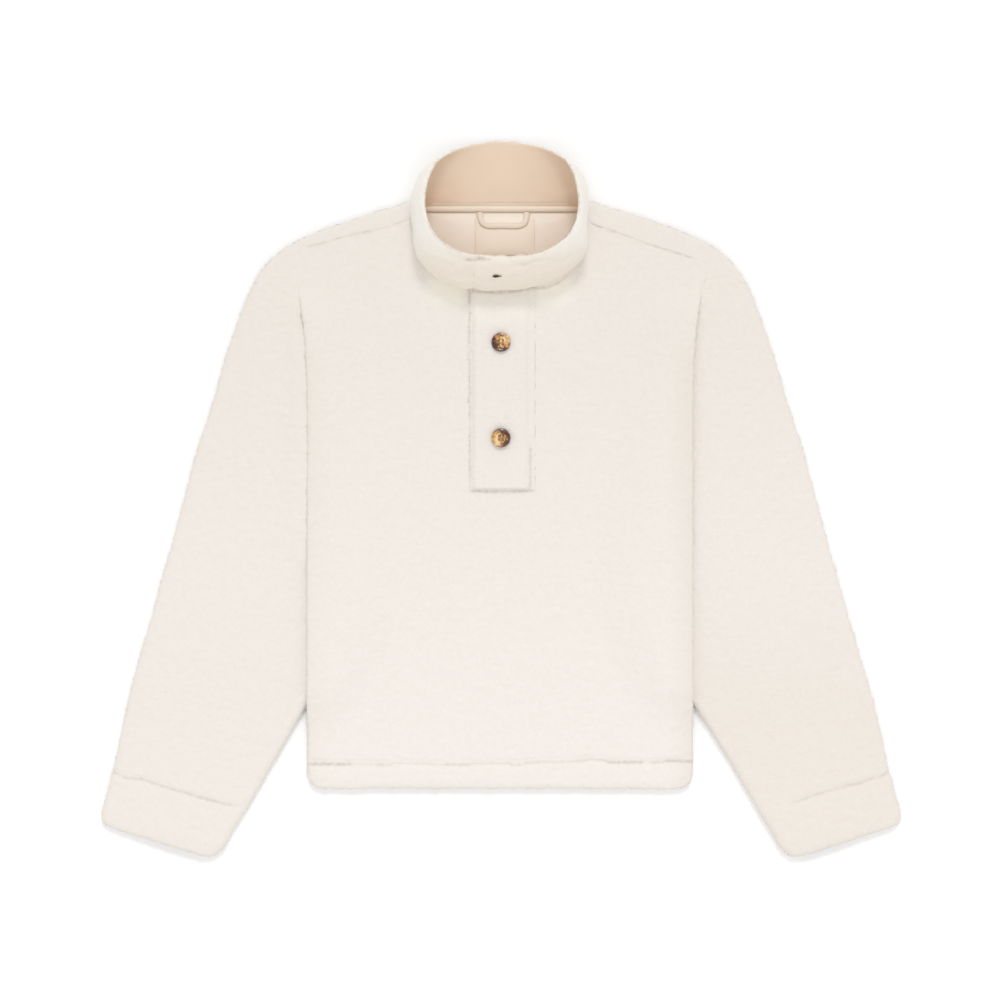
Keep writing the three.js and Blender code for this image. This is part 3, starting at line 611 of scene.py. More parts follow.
def lineMarks(x, y, names, reach=3.5):
    # signed distance to the nearest of the named lines, and its strength there, none past its reach
    signed, strength = np.full(np.shape(x), 50.0), np.zeros(np.shape(x))
    for name in names:
        line = np.array(seamLines[name], float)
        for (ax, ay, before), (bx, by, after) in zip(line, line[1:]):
            dx, dy = bx - ax, by - ay
            share = ((x - ax) * dx + (y - ay) * dy) / (dx * dx + dy * dy)
            t = np.clip(share, 0, 1)
            gap = np.hypot(x - ax - t * dx, y - ay - t * dy)
            side = np.sign(dx * (y - ay) - dy * (x - ax))
            nearer = gap < np.abs(signed)
            signed = np.where(nearer, np.where(side == 0, 1, side) * gap, signed)
            strength = np.where(nearer, mix(before, after, t), strength)
    return signed, np.where(np.abs(signed) < reach, strength, 0)


def neckShadeAndTone(x, y):
    # painted shade and tone: the fleece is painted a little darker and warmer towards the neck, partly its own
    # warmer tone and partly painted shade for the light's fall-off and the collar's shade, and less so right beside
    # the collar, where it is left lighter against the collar's shadow
    nearNeck = smooth(1 - (np.hypot(x, y - 275) - 85) / 70)
    return (0.01 + 0.13 * smooth((y + 300) / 620)) * (1 - 0.4 * nearNeck)


def paintedLightBesideCollar(x, y):
    # painted light below the collar on either side of the placket, lightening the collar's shadow there
    around = np.hypot(x / 93, (y - 275) / 58)
    beside = smooth((np.abs(x) - 30) / 14) * smooth((88 - np.abs(x)) / 24)
    return smooth((1.5 - around) / 0.3) * beside * smooth((250 - y) / 25)


# Grids of points that the stitches are sunk in, and a coordinate past every sewn line
surfaces = {}
noSeam = 900


def seamLayers(x, y, names, shade):
    signed, strength = lineMarks(x, y, names)
    return {"seam": signed, "seamShade": 0.85 * strength**1.5, "shade": shade}


def turnUnder(points, axis, end, profile, inwards):
    # rows or columns that carry a sheet's edge round and under: distances inwards and heights
    grid = points if axis == 0 else points.swapaxes(0, 1)
    edge = grid[0] if end == 0 else grid[-1]
    short = (len(edge) - len(inwards)) // 2
    directions = np.pad(inwards, ((short, short), (0, 0)), mode="edge")
    extra = []
    for depth, heights in profile:
        row = edge.copy()
        row[:, :2] += directions * depth
        row[:, 2] = heights(edge) if callable(heights) else heights
        extra.append(row)
    grid = np.concatenate([extra[::-1], grid] if end == 0 else [grid, extra])
    return grid if axis == 0 else grid.swapaxes(0, 1)


def lowerBy(amount):
    return lambda edge: edge[:, 2] - amount


def seamNip(lap):
    # the profile of an edge that is sewn down at the shoulder seam and laps under it
    return [(-0.7, lowerBy(0.15)), (-0.7, lowerBy(1.8)), (lap, lowerBy(3.6))]


def liftOf(edge):
    return bodyLift(edge[:, 0], edge[:, 1])


def lengthsDown(points):
    # how far each point of a grid lies along its column
    return np.cumsum(np.linalg.norm(np.gradient(points, axis=0), axis=2), axis=0)


def inwardsFromHem(x):
    # straight up the garment, and towards its middle at the corners
    return unit(np.column_stack([-np.sign(x) * np.abs(x / bodyShape["half"]) ** 9, np.ones(len(x))]))


def inwardsFrom(plan, axis, end):
    grid = plan if axis == 0 else plan.swapaxes(0, 1)
    step = grid[4] - grid[0] if end == 0 else grid[-5] - grid[-1]
    return unit(step[:, :2])


def fluff(points, across, along, seed, amount=1.0, lowest=0.0):
    # raises a grid of points along its normals by the pile's height
    heights = pileHeight(across, along, seed) * amount
    risen = points + gridNormals(points) * np.asarray(heights)[..., None]
    risen[..., 2] = np.maximum(risen[..., 2], lowest)
    return risen


# Places along the edges where tufts of pile stand out: point and direction
tuftPlaces = {}


def noteTufts(name, points, aims):
    aims = np.broadcast_to(np.asarray(aims, float), np.shape(points))
    tuftPlaces.setdefault(name, []).append((np.array(points, float), aims))


# Collar surface, which the front panel's neck edge follows too: turns in table rows, the rest in millimetres
collarShape = {
    "clear": 0.4,
    "shift": 2,
    "start": -0.95,
    "end": 18.9,
    "blend": (16.75, 17.4),
    "offset": 5.4,
    "round": 18,
    "low": 0.3,
    "height": 68,
    "turnLength": 26.2,
    "columns": 262,
}
# lower edge x, y, z, rim x, y, z, belly and its direction x, y, sag, from the middle of the front to the back
collarRows = [
    (0, 227, 0, 0, 248, 60, 34.8, 0, -1, 1), (31, 229, 0, 29, 250, 61, 34, 0.1, -1, 1),
    (60, 239, 0, 54, 259, 62, 31, 0.45, -0.9, 1), (79, 256, 0, 73, 276, 63, 28, 0.8, -0.6, 1),
    (85, 276, 0, 82, 303, 61, 17, 1, -0.1, 1), (90, 297, 0, 79, 331, 53, 15, 1, 0.1, 1),
    (87.5, 304.5, -5, 68, 354.5, 36, 21, 0.87, 0.49, 5), (66, 303.6, -10, 49, 368.5, 17, 7, 0.9, 0.4, 7),
    (34, 303.4, -10.1, 25, 374, 6, 1, 0.5, 0.5, 3), (0, 303.4, -10.1, 0, 376.5, 3, 0, 0, 1, 1.3),
]


def collarCurves():
    c = collarShape
    around = [(1, row) for row in collarRows] + [(-1, row) for row in collarRows[-2:0:-1]]
    base, rim, belly = [], [], []
    for side, (bx, by, bz, rx, ry, rz, out, outX, outY, sag) in around:
        if side < 0 and by < 300:
            bx, by, out = bx + 3 * outX, by + 3 * outY, out - (3 if by > 250 else 0)
        low = cloth["bodyHeight"] + c["clear"] + bz
        out -= 5 if side > 0 and 276 <= by <= 297 else 0
        base.append((side * bx, by, max(c["low"], low)))
        rim.append((side * rx + c["shift"], ry, rz))
        middle = ((side * (bx + rx) + c["shift"]) / 2 + side * outX * out, (by + ry) / 2 + outY * out)
        belly.append((*middle, max(c["low"], (low + rz) / 2 - sag)))
    return [curveThrough(points, closed=True) for points in (base, belly, rim)]


collarBase, collarBelly, collarRim = collarCurves()
collarTurns = np.linspace(collarShape["start"], collarShape["end"], collarShape["columns"])


def collarFace(turn, up):
    t = (turn / collarShape["round"]) % 1
    low, middle, high = (alongCurve(curve, t, "spans") for curve in (collarBase, collarBelly, collarRim))
    up = np.asarray(up)[..., None]
    point = low * (1 - up) ** 2 + middle * 2 * up * (1 - up) + high * up**2
    point[..., 2] = np.maximum(point[..., 2], collarShape["low"])
    return point


def collarPoint(turn, up, depth):
    # a point of the collar, depth in from its outer face
    step = 0.02
    around = collarFace(turn + step, up) - collarFace(turn - step, up)
    rise = collarFace(turn, np.minimum(1, up + step)) - collarFace(turn, np.maximum(0, up - step))
    inwards = unit(np.cross(rise, around))
    start, end = collarShape["blend"]
    under = collarShape["offset"] * smooth((turn - start) / (end - start))
    return collarFace(turn, up) + inwards * (depth + under)[..., None]


def neckEdge(reach):
    # the front panel's neck edge: the collar's foot from side to side, moved in by reach, and closed far up
    turns = np.arange(-5, 5.01, 0.25)
    points = collarFace(turns, np.zeros_like(turns))[:, :2]
    along = unit(np.gradient(points, axis=0))
    points = points + np.stack([-along[:, 1], along[:, 0]], axis=1) * reach
    return np.vstack([points, [(points[-1, 0], 400), (points[0, 0], 400)]])


def insideOutline(x, y, outline):
    # which points lie inside a closed outline, by counting the sides that a line to the right crosses
    inside = np.zeros(np.shape(x), bool)
    for (ax, ay), (bx, by) in zip(outline, np.roll(outline, -1, axis=0)):
        crosses = (ay > y) != (by > y)
        inside ^= crosses & (x < (bx - ax) * (y - ay) / (by - ay + 1e-12) + ax)
    return inside


# Front panel
def buildFrontPanel():
    size = {
        "step": 1.75, "rowStep": 1.85, "sideBand": 24, "sideStep": 1.3, "endBand": 34, "endStep": 1.2,
        "hemRound": 9, "hemDrop": 3, "hemRoll": 0.8, "seamRound": 8, "seamDip": 0.15, "flatEdge": 6,
        "slit": (-25.5, 27.5, 15, 250), "neckReach": 7, "grooveReach": 30,
        "sideShade": 172, "leftShade": 0.06, "rightShade": 0.13, "shadeTop": 190,
    }
    b = bodyShape
    across = spread(0, panelWidth, size["step"], size["sideBand"], size["sideStep"])
    up = spread(0, b["length"], size["rowStep"], size["endBand"], size["endStep"])
    topPoint = lambda u: inFromShoulder(u, seamDepthAt(alongCurve(shoulderLine, u)[..., 0]) + cloth["seamGap"])
    plan = panelPlan(across, up, topPoint)
    x, y = plan[..., 0], plan[..., 1]
    acrossGrid, upGrid = np.meshgrid(across, up)
    drop = edgeDrop(acrossGrid, b["sideRoundLeft"]) + edgeDrop(panelWidth - acrossGrid, b["sideRoundRight"])
    drop *= 1 - 0.8 * smooth((y - 190) / 36)
    toHem, dark = lineMarks(x, y, ["hem"], size["grooveReach"])
    groove = b["grooveDepth"] * trough(toHem, b["grooveHalf"]) * (0.55 + 0.75 * dark)
    roll = size["hemRoll"] * trough(upGrid - b["hemDepth"] / 2, b["hemDepth"] / 2)
    hem = roll - size["hemDrop"] * edgeDrop(upGrid, size["hemRound"]) - groove
    nearSeam = size["seamDip"] * edgeDrop(b["length"] - upGrid, size["seamRound"])
    height = bodyLift(x, y) + cloth["bodyHeight"] + (hem + frontSwell(x, y)) * (1 - drop) - nearSeam
    height -= (cloth["wall"] - b["edgeLip"]) * drop
    points = fluff(np.dstack([x, y, height]), x, y, 100, smooth((b["length"] - upGrid) / size["flatEdge"]))
    under = lambda edge: liftOf(edge) + cloth["frontBottom"]
    meeting = lambda edge: under(edge) - 0.9
    rim = [(-0.5, lambda edge: mix(edge[:, 2], meeting(edge), 0.45)), (-0.3, meeting), (3, meeting), (8, under)]
    for end in (0, -1):
        aims = -inwardsFrom(plan, 1, end)
        noteTufts("front_panel", points[:, end], np.column_stack([aims, np.full(len(aims), 0.4)]))
    noteTufts("front_panel", points[0], (0, -1, 0.35))
    for end in (0, -1):
        points = turnUnder(points, 1, end, rim, inwardsFrom(plan, 1, end))
    half = lambda edge: (edge[:, 2] + under(edge)) / 2
    hemRim = [(-0.3, half), (0.4, lambda edge: under(edge) + 0.1), (6, under), (14, under), (24, under)]
    points = turnUnder(points, 0, 0, hemRim, inwardsFromHem(plan[0, :, 0]))
    points = turnUnder(points, 0, -1, seamNip(3), inwardsFrom(plan, 0, -1))
    surfaces["front"] = points
    px, py = points[..., 0], points[..., 1]
    left, right, bottom, top = size["slit"]
    keep = ~insideOutline(px, py, neckEdge(size["neckReach"]))
    keep &= ~((px > left) & (px < right) & (py > bottom) & (py < top))
    lines = ["hem", "shoulderLeft", "shoulderRight", "placketLeft", "placketFoot", "collarFoot"]
    # painted shade near the body's rounded sides, more on the right, fading out towards the shoulders
    rightShade = size["rightShade"] * smooth((px - size["sideShade"]) / 30)
    leftShade = size["leftShade"] * smooth((-size["sideShade"] - px) / 30)
    sideShade = (rightShade + leftShade) * smooth((size["shadeTop"] - py) / 60)
    layers = seamLayers(px, py, lines, neckShadeAndTone(px, py) + sideShade)
    layers["pale"] = paintedLightBesideCollar(px, py)
    front = addSheet("front_panel_fleece", points, keep, layers=layers)
    dress(front, ["front_panel"], ivoryFleece)


def buildBackPanel():
    size = {
        "step": 2.2, "rowStep": 3.2, "band": 16, "bandStep": 1.6, "sideRound": 5, "neckHalf": 91.5,
        "foldRows": 15, "foldTurn": (-84, 90), "lapRows": 9, "lapLength": 14, "seamDip": 0.15, "flatEdge": 6,
        "neckFrom": 262,
    }
    b = bodyShape
    across = spread(0, panelWidth, size["step"], size["band"], size["bandStep"])
    up = spread(0, b["length"], size["rowStep"], size["band"], size["bandStep"])
    plan = panelPlan(across, up, lambda u: inFromShoulder(u, b["wrapStart"]))
    acrossGrid, upGrid = np.meshgrid(across, up)
    drop = edgeDrop(acrossGrid, size["sideRound"]) + edgeDrop(panelWidth - acrossGrid, size["sideRound"])
    rise = (cloth["wall"] - b["edgeLip"]) * np.maximum(drop, edgeDrop(upGrid, b["backRound"]))
    lift = bodyLift(plan[..., 0], plan[..., 1])
    rows = [np.dstack([plan, lift + rise])]
    u = across / panelWidth
    edgeX = alongCurve(shoulderLine, u)[..., 0]
    for angle in np.radians(np.linspace(*size["foldTurn"], size["foldRows"])):
        flat = inFromShoulder(u, np.full(len(u), b["foldRadius"] * (1 - np.cos(angle))))
        rows.append(np.column_stack([flat, np.full(len(u), b["foldRadius"] * (1 + np.sin(angle)))]))
    for share in np.linspace(0.15, 1, size["lapRows"]):
        flat = inFromShoulder(u, mix(b["foldRadius"], seamDepthAt(edgeX), share))
        height = cloth["bodyHeight"] - size["seamDip"] * edgeDrop((1 - share) * size["lapLength"], 8)
        rows.append(np.column_stack([flat, np.full(len(u), height)]))
    points = np.concatenate([row.reshape(-1, len(u), 3) for row in rows])
    along = lengthsDown(points)
    points = fluff(points, points[..., 0], along, 140, 0.9 * smooth((along[-1] - along) / size["flatEdge"]))
    fold = len(up) + size["foldRows"] // 2
    outwards = -inwardsFrom(points[len(up) :], 0, 0)
    noteTufts("back_panel", points[fold], np.column_stack([outwards, np.full(len(u), 0.3)]))
    points = turnUnder(points, 0, -1, seamNip(1.5), inwardsFrom(points, 0, -1))
    over = lambda edge: liftOf(edge) + cloth["wall"]
    rim = [(-0.3, lambda edge: (edge[:, 2] + over(edge)) / 2), (0.4, over), (6, over), (14, over), (24, over)]
    points = turnUnder(points, 0, 0, rim, inwardsFromHem(plan[0, :, 0]))
    sideOver = lambda edge: np.where(edge[:, 2] > 6.5, edge[:, 2] - 4, liftOf(edge) + 5)
    sideRim = [(-0.9, lambda edge: mix(edge[:, 2], sideOver(edge), 0.12)), (-0.5, sideOver), (3, sideOver)]
    extra = len(points) - len(rim) - len(plan)
    for end in (0, -1):
        inwards = np.pad(inwardsFrom(plan, 1, end), ((len(rim), extra), (0, 0)), mode="edge")
        points = turnUnder(points, 1, end, sideRim, inwards)
    px, py, pz = points[..., 0].copy(), points[..., 1].copy(), points[..., 2]
    near = np.abs(px) < size["neckHalf"]
    folded = pz > cloth["wall"] + 0.4
    goneFlat = near & (py > b["backNeckY"]) & ~folded
    goneFold = near & (py > size["neckFrom"]) & folded
    points[..., 1] = np.where(goneFlat, b["backNeckY"], py)
    points[..., 0] = np.where(goneFold, np.sign(px) * size["neckHalf"], px)
    onFront = np.where(pz > 8, py, -noSeam)
    layers = seamLayers(px, onFront, ["shoulderLeft", "shoulderRight"], neckShadeAndTone(px, py))
    back = addSheet("back_panel_fleece", points, ~(goneFlat | goneFold), flip=True, layers=layers)
    dress(back, ["back_panel"], ivoryFleece)


def buildSleeve(side, name):
    size = {
        "rowStep": 2.0, "endBand": 12, "endStep": 1.3, "round": 8, "innerRound": 3.5, "loft": 2.4, "groove": 1.3,
        "grooveHalf": 4.6, "inset": 4.6, "tuck": 8, "lean": 4.0, "rise": (1.5, 4.8), "tone": (0.13, 0.06),
        "below": 29, "above": 92, "turns": 11, "turnEnd": 84, "weights": (1, 1, 1, 1, 6), "middle": 5,
        "head": ((2, 1, 0.965), (5.5, 0.98, 0.88), (8.5, 0.6, 0.78), (12, 0.08, 0.62)),
    }
    table = curveThrough(np.array(sleeveRows)[:, :5] * size["weights"], density=80)
    line = table["points"] / size["weights"]
    run = runAlong((line[:, :2] + line[:, 2:4]) / 2)
    places = spread(0, run[-1], size["rowStep"], size["endBand"], size["endStep"])
    outerX, outerY, innerX, innerY, height = (np.interp(places, run, column) for column in line.T)
    innerX = innerX - size["tuck"] * smooth((innerY - 60) / 50)
    if side > 0:
        lean = size["lean"] * smooth((-190 - innerY) / 90)
        outerX, innerX = outerX + 0.55 * lean, innerX + lean
    height = height + 0.8 * smooth((outerY - 150) / 60)
    rise = size["rise"][side < 0] * smooth((innerY + 110) / 80) * smooth((215 - innerY) / 60)
    width = np.hypot(outerX - innerX, outerY - innerY)
    seen = np.minimum(1, (outerX - bodyShape["half"] - 3) / (outerX - innerX))
    arc = np.radians(np.linspace(-size["turnEnd"], size["turnEnd"], size["turns"]))
    bottom, top = np.linspace(0, 1, size["below"] + 1)[:-1], np.linspace(1, 0, size["above"])

    def section(inset, low, lost, rounding):
        # cross-sections of the flattened tube: under, round the inner side, over, round the outer side
        start, end = inset + rounding + 0 * width, width - inset - rounding

        def topAt(distance):
            t = np.minimum(1, distance / width / seen)
            return height + size["loft"] * np.sin(np.pi * 0.74 * t) ** 2 + rise * smooth((t - 0.7) / 0.3) - lost

        distances, heights = [], []
        for t in bottom:
            distances.append(mix(start, end, t))
            heights.append(low + 0 * start)
        for turn in arc:
            distances.append(end + rounding * np.cos(turn))
            heights.append(mix(low, topAt(end), (1 + np.sin(turn)) / 2))
        for t in top:
            distances.append(mix(start, end, t))
            heights.append(topAt(mix(start, end, t)))
        for turn in -arc[:-1]:
            distances.append(start - rounding * np.cos(turn))
            heights.append(mix(low, topAt(start), (1 + np.sin(turn)) / 2))
        t = np.stack(distances, axis=1) / width[:, None]
        x = side * mix(outerX[:, None], innerX[:, None], t)
        y = mix(outerY[:, None], innerY[:, None], t)
        return np.dstack([x, y, np.stack(heights, axis=1)])

    points = section(0, np.zeros(len(places)), 0 * places, size["round"])
    topSide = points[..., 2] > 4
    cuffLine = ["cuffLeft" if side < 0 else "cuffRight"]
    toLine, dark = lineMarks(points[..., 0], points[..., 1], cuffLine, 30)
    points[..., 2] -= size["groove"] * trough(toLine, size["grooveHalf"]) * topSide * (0.35 + 0.8 * dark)
    otherPile = np.where(points[..., 2] < 4.5, 900, 0)
    points = fluff(points, points[..., 0] + otherPile, points[..., 1], 160 + 20 * side)
    innerSide = len(bottom) + len(arc) // 2
    outer = innerSide + len(arc) + len(top)
    noteTufts(name, points[:, outer], (side, 0.3, 0.35))
    noteTufts(name, points[places > 330][:, innerSide], (-side, -0.5, 0.35))
    noteTufts(name, points[-1][len(bottom) + len(arc) : outer], (side * 0.1, -1, 0.3))
    wall = np.minimum(cloth["wall"], height / 2 - 0.25)
    inner = section(size["inset"], wall, wall, size["innerRound"])
    cuff = [(points[-1] + inner[-1]) / 2, inner[-1], inner[-4], inner[-8], inner[-14]]
    head = []
    for depth, squeeze, shrink in size["head"]:
        ring = points[0].copy()
        centre = ring.mean(axis=0)
        ring[:, 0] = centre[0] + (ring[:, 0] - centre[0]) * shrink
        ring[:, 1] += depth
        ring[:, 2] = mix(size["middle"], ring[:, 2], squeeze)
        head.append(ring)
    points = np.concatenate([head[::-1], points, cuff])
    points = points[:, np.arange(innerSide, innerSide + points.shape[1] + 1) % points.shape[1]]
    surfaces[name] = points
    px, py, pz = np.moveaxis(points, 2, 0)
    # painted shade on the sleeves: a little darker all over, and deeper towards the cuffs, more on the right sleeve
    tone = neckShadeAndTone(px, py) + 0.02 + size["tone"][side < 0] * smooth((-40 - py) / 200)
    layers = seamLayers(px, np.where(pz > size["middle"], py, noSeam), cuffLine, tone)
    sleeve = addSheet(f"{name}_fleece", points, flip=side > 0, layers=layers)
    dress(sleeve, [name], ivoryFleece)


def asSeen(points):
    # where the camera sees points, on the surface
    share = view["height"] / (view["height"] - points[..., 2])
    return points[..., 0] * share, points[..., 1] * share


def buildCollar():
    # rows go up the outer face and over the rim, columns from the free end round to the other end
    size = {
        "rows": 38, "endRound": 14.0, "endDrop": 3.0, "footEdge": 3, "rimRise": [0.9, 1.3, 1.0, 0.4, 0, 0, 0],
        "creaseDepth": 1.9, "creaseHalf": 3.2, "front": 285, "soft": 0.9,
    }
    c = collarShape
    turns = collarTurns
    columns = [(c["start"] + 0.04, 6.2), (c["start"] - 0.02, 5), (c["start"] - 0.02, 3.8)]
    fromEnd = (turns - c["start"]) * c["turnLength"] / size["endRound"]
    columns += list(zip(turns, size["endDrop"] * smooth(1 - fromEnd)))
    rows = [(0.0, 4.0), (0.0, 2.6), (0.0, 1.2)]
    rows += [(up, 0.9 * float(edgeDrop(min(up, 1 - up) * c["height"], 4))) for up in np.linspace(0, 1, size["rows"])]
    rows += [(1.0, 1.6), (1.0, 2.5), (1.0, 3.3), (0.997, 3.8), (0.985, 4), (0.965, 4), (0.94, 4)]
    turnGrid, upGrid = np.meshgrid([turn for turn, _ in columns], [up for up, _ in rows])
    endDepth, edgeDepth = np.meshgrid([deep for _, deep in columns], [deep for _, deep in rows])
    ending = (np.arange(len(columns)) > 2)[None, :]
    endDepth = np.where(ending, endDepth * (0.3 + 0.7 * smooth(upGrid / 0.3)), endDepth)
    onRim = (np.arange(len(rows)) >= size["footEdge"] + size["rows"])[:, None]
    depth = np.maximum(endDepth, edgeDepth * (1 + 0.8 * smooth((1.1 - turnGrid) / 0.3) * onRim))
    points = collarPoint(turnGrid, upGrid, depth)
    rimRise = np.array([0] * (size["footEdge"] + size["rows"]) + size["rimRise"])
    points[..., 2] += rimRise[:, None] * np.clip(points[..., 2] / 30, 0.2, 1)
    normals = gridNormals(points)
    seenX, seenY = asSeen(points)
    # painted shade along the collar's creases, over their troughs
    creases = ["collarRoll", "collarEnd", "collarFold"]
    crease, strength = lineMarks(seenX, seenY, creases, 30)
    facing = (points[..., 1] < size["front"]) & (np.arange(len(rows)) < size["rows"] + 6)[:, None]
    points -= normals * (size["creaseDepth"] * strength * trough(crease, size["creaseHalf"]) * facing)[..., None]
    run = turnGrid * c["turnLength"]
    soft = size["soft"] * softNoise(run, upGrid * c["height"], 42, 21, 230)
    points += normals * (soft * smooth((4 - depth) / 3))[..., None]
    along = lengthsDown(points)
    amount = np.ones((len(rows), 1))
    amount[:2], amount[-3:] = 0, 0.2
    points = fluff(points, run, along, 200, amount)
    rimRow = size["footEdge"] + size["rows"] + 1
    noteTufts("collar_outer", points[rimRow, 3:-30], normals[rimRow, 3:-30] * (1, 1, 0.3) + (0, 0, 0.5))
    noteTufts("collar_outer", points[4, 3:-30], (0, -0.3, 0.1) + normals[4, 3:-30])
    layers = seamLayers(np.where(facing, seenX, noSeam), seenY, creases, np.zeros(seenX.shape))
    # a paler, more neutral tone towards the collar's back and sides, partly painted light on its shaded steep sides
    layers["pale"] = smooth((points[..., 1] - 235) / 45)
    collar = addSheet("collar_fleece", points, flip=True, layers=layers)
    dress(collar, ["collar_outer"], creamFleece)


def buildCollarLining():
    size = {
        "depth": 5.0, "start": 0.9, "rows": 43, "crease": 0.5, "lowest": 4.6, "shadeUp": 0.32,
        "foot": [(0.6, 0.3), (2.2, 1.2), (2.8, 3.0), (2.8, 5.5)],
    }
    c = collarShape
    ups = np.concatenate([[1, 0.99], np.linspace(0.975, 0, size["rows"])])
    turns = collarTurns[collarTurns > size["start"]]
    turnGrid, upGrid = np.meshgrid(turns, ups)
    deep = np.full(turnGrid.shape, size["depth"])
    deep[0], deep[1] = 3.4, 4.5
    lining = collarPoint(turnGrid, upGrid, deep)
    lining[:2, :, 2] += np.array([[0.5], [0.2]]) * np.clip(lining[:2, :, 2] / 30, 0.2, 1)
    crease = size["crease"] * softNoise(turnGrid * c["turnLength"], upGrid * c["height"], 34, 26, 220)
    lining += gridNormals(lining) * (crease * smooth((1 - upGrid) / 0.08))[..., None]
    foot = []
    for further, lower in size["foot"]:
        row = collarPoint(turns, np.zeros(len(turns)), np.full(len(turns), size["depth"] + further))
        row[:, 2] -= lower
        foot.append(row)
    lining = np.concatenate([lining, foot])
    lining[..., 2] = np.maximum(lining[..., 2], size["lowest"])
    upGrid = np.pad(upGrid, ((0, len(foot)), (0, 0)), mode="edge")
    # painted shade on the lining low down, towards its sides
    fromFoot = smooth((size["shadeUp"] - upGrid) / size["shadeUp"])
    nearFoot = 0.5 * fromFoot * smooth((np.abs(lining[..., 0]) - 30) / 40)
    piece = addSheet("collar_lining_jersey", lining, flip=True, layers={"shade": nearFoot})
    dress(piece, ["collar_lining"], peachJersey)


def onCollar(turn, up, across, along, high):
    # a small offset from a place of the collar's outer face, in millimetres along it and off it
    turns = turn + np.asarray(across) / collarShape["turnLength"]
    ups = up + np.asarray(along) / collarShape["height"]
    return collarPoint(turns, ups, -np.asarray(high))


def buildButtonhole():
    # worked eye in the front of the collar: a whipped oval round a dark slit
    size = {
        "seen": (-4.2, 235.6), "half": 2.6, "bar": 0.95, "thread": 0.45, "stitches": 32, "high": 0.75, "barEnd": 4.6,
        "rings": (1, 0.7, 0.35, 0.02), "bars": (-0.35, 0.1, 0.5), "samples": 6,
    }
    turnGrid, upGrid = np.meshgrid(np.linspace(-0.9, 0.9, 91), np.linspace(0.1, 0.95, 86))
    seenX, seenY = asSeen(collarPoint(turnGrid, upGrid, np.zeros(turnGrid.shape)))
    nearest = np.argmin(np.hypot(seenX - size["seen"][0], seenY - size["seen"][1]))
    turn, up = turnGrid.ravel()[nearest], upGrid.ravel()[nearest]
    angles = np.linspace(0, 2 * np.pi, 96, endpoint=False)
    around = np.linspace(0, 2 * np.pi, 8, endpoint=False)
    angleGrid, tube = np.meshgrid(angles, around)
    whip = size["thread"] * (1 + 0.22 * np.cos(size["stitches"] * angleGrid))
    across = size["half"] * np.cos(angleGrid) + whip * np.cos(tube) * np.cos(angleGrid)
    along = size["bar"] * np.sin(angleGrid) * (1 - 0.35 * np.cos(angleGrid))
    along += whip * np.cos(tube) * np.sin(angleGrid)
    ring = onCollar(turn, up, across, along, size["high"] + whip * np.sin(tube))
    points = np.concatenate([ring, ring[:1]])
    dress(addSheet("collar_buttonhole", points, tube=True, flip=True), [], umberThread)
    rings = []
    for share in size["rings"]:
        across, along = share * size["half"] * np.cos(angles), share * size["bar"] * np.sin(angles)
        rings.append(onCollar(turn, up, across, along, 0.7 - 0.5 * (1 - share)))
    dress(addSheet("collar_buttonhole_slit", np.stack(rings), tube=True), [], umberThread)
    across = np.linspace(size["half"], size["barEnd"], size["samples"])
    high = size["high"] + 0.25 * np.sin(np.linspace(0, np.pi, size["samples"]))
    ends = [onCollar(turn, up, across, np.full(size["samples"], along), high) for along in size["bars"]]
    addThreads("collar_buttonhole_bar", ends, threadRadius, tanThread)


# The buttons' places and their thread
buttonX, buttonYs, buttonReach = 1, {"button_upper": 165, "button_lower": 65}, 13
threadRadius = 0.3


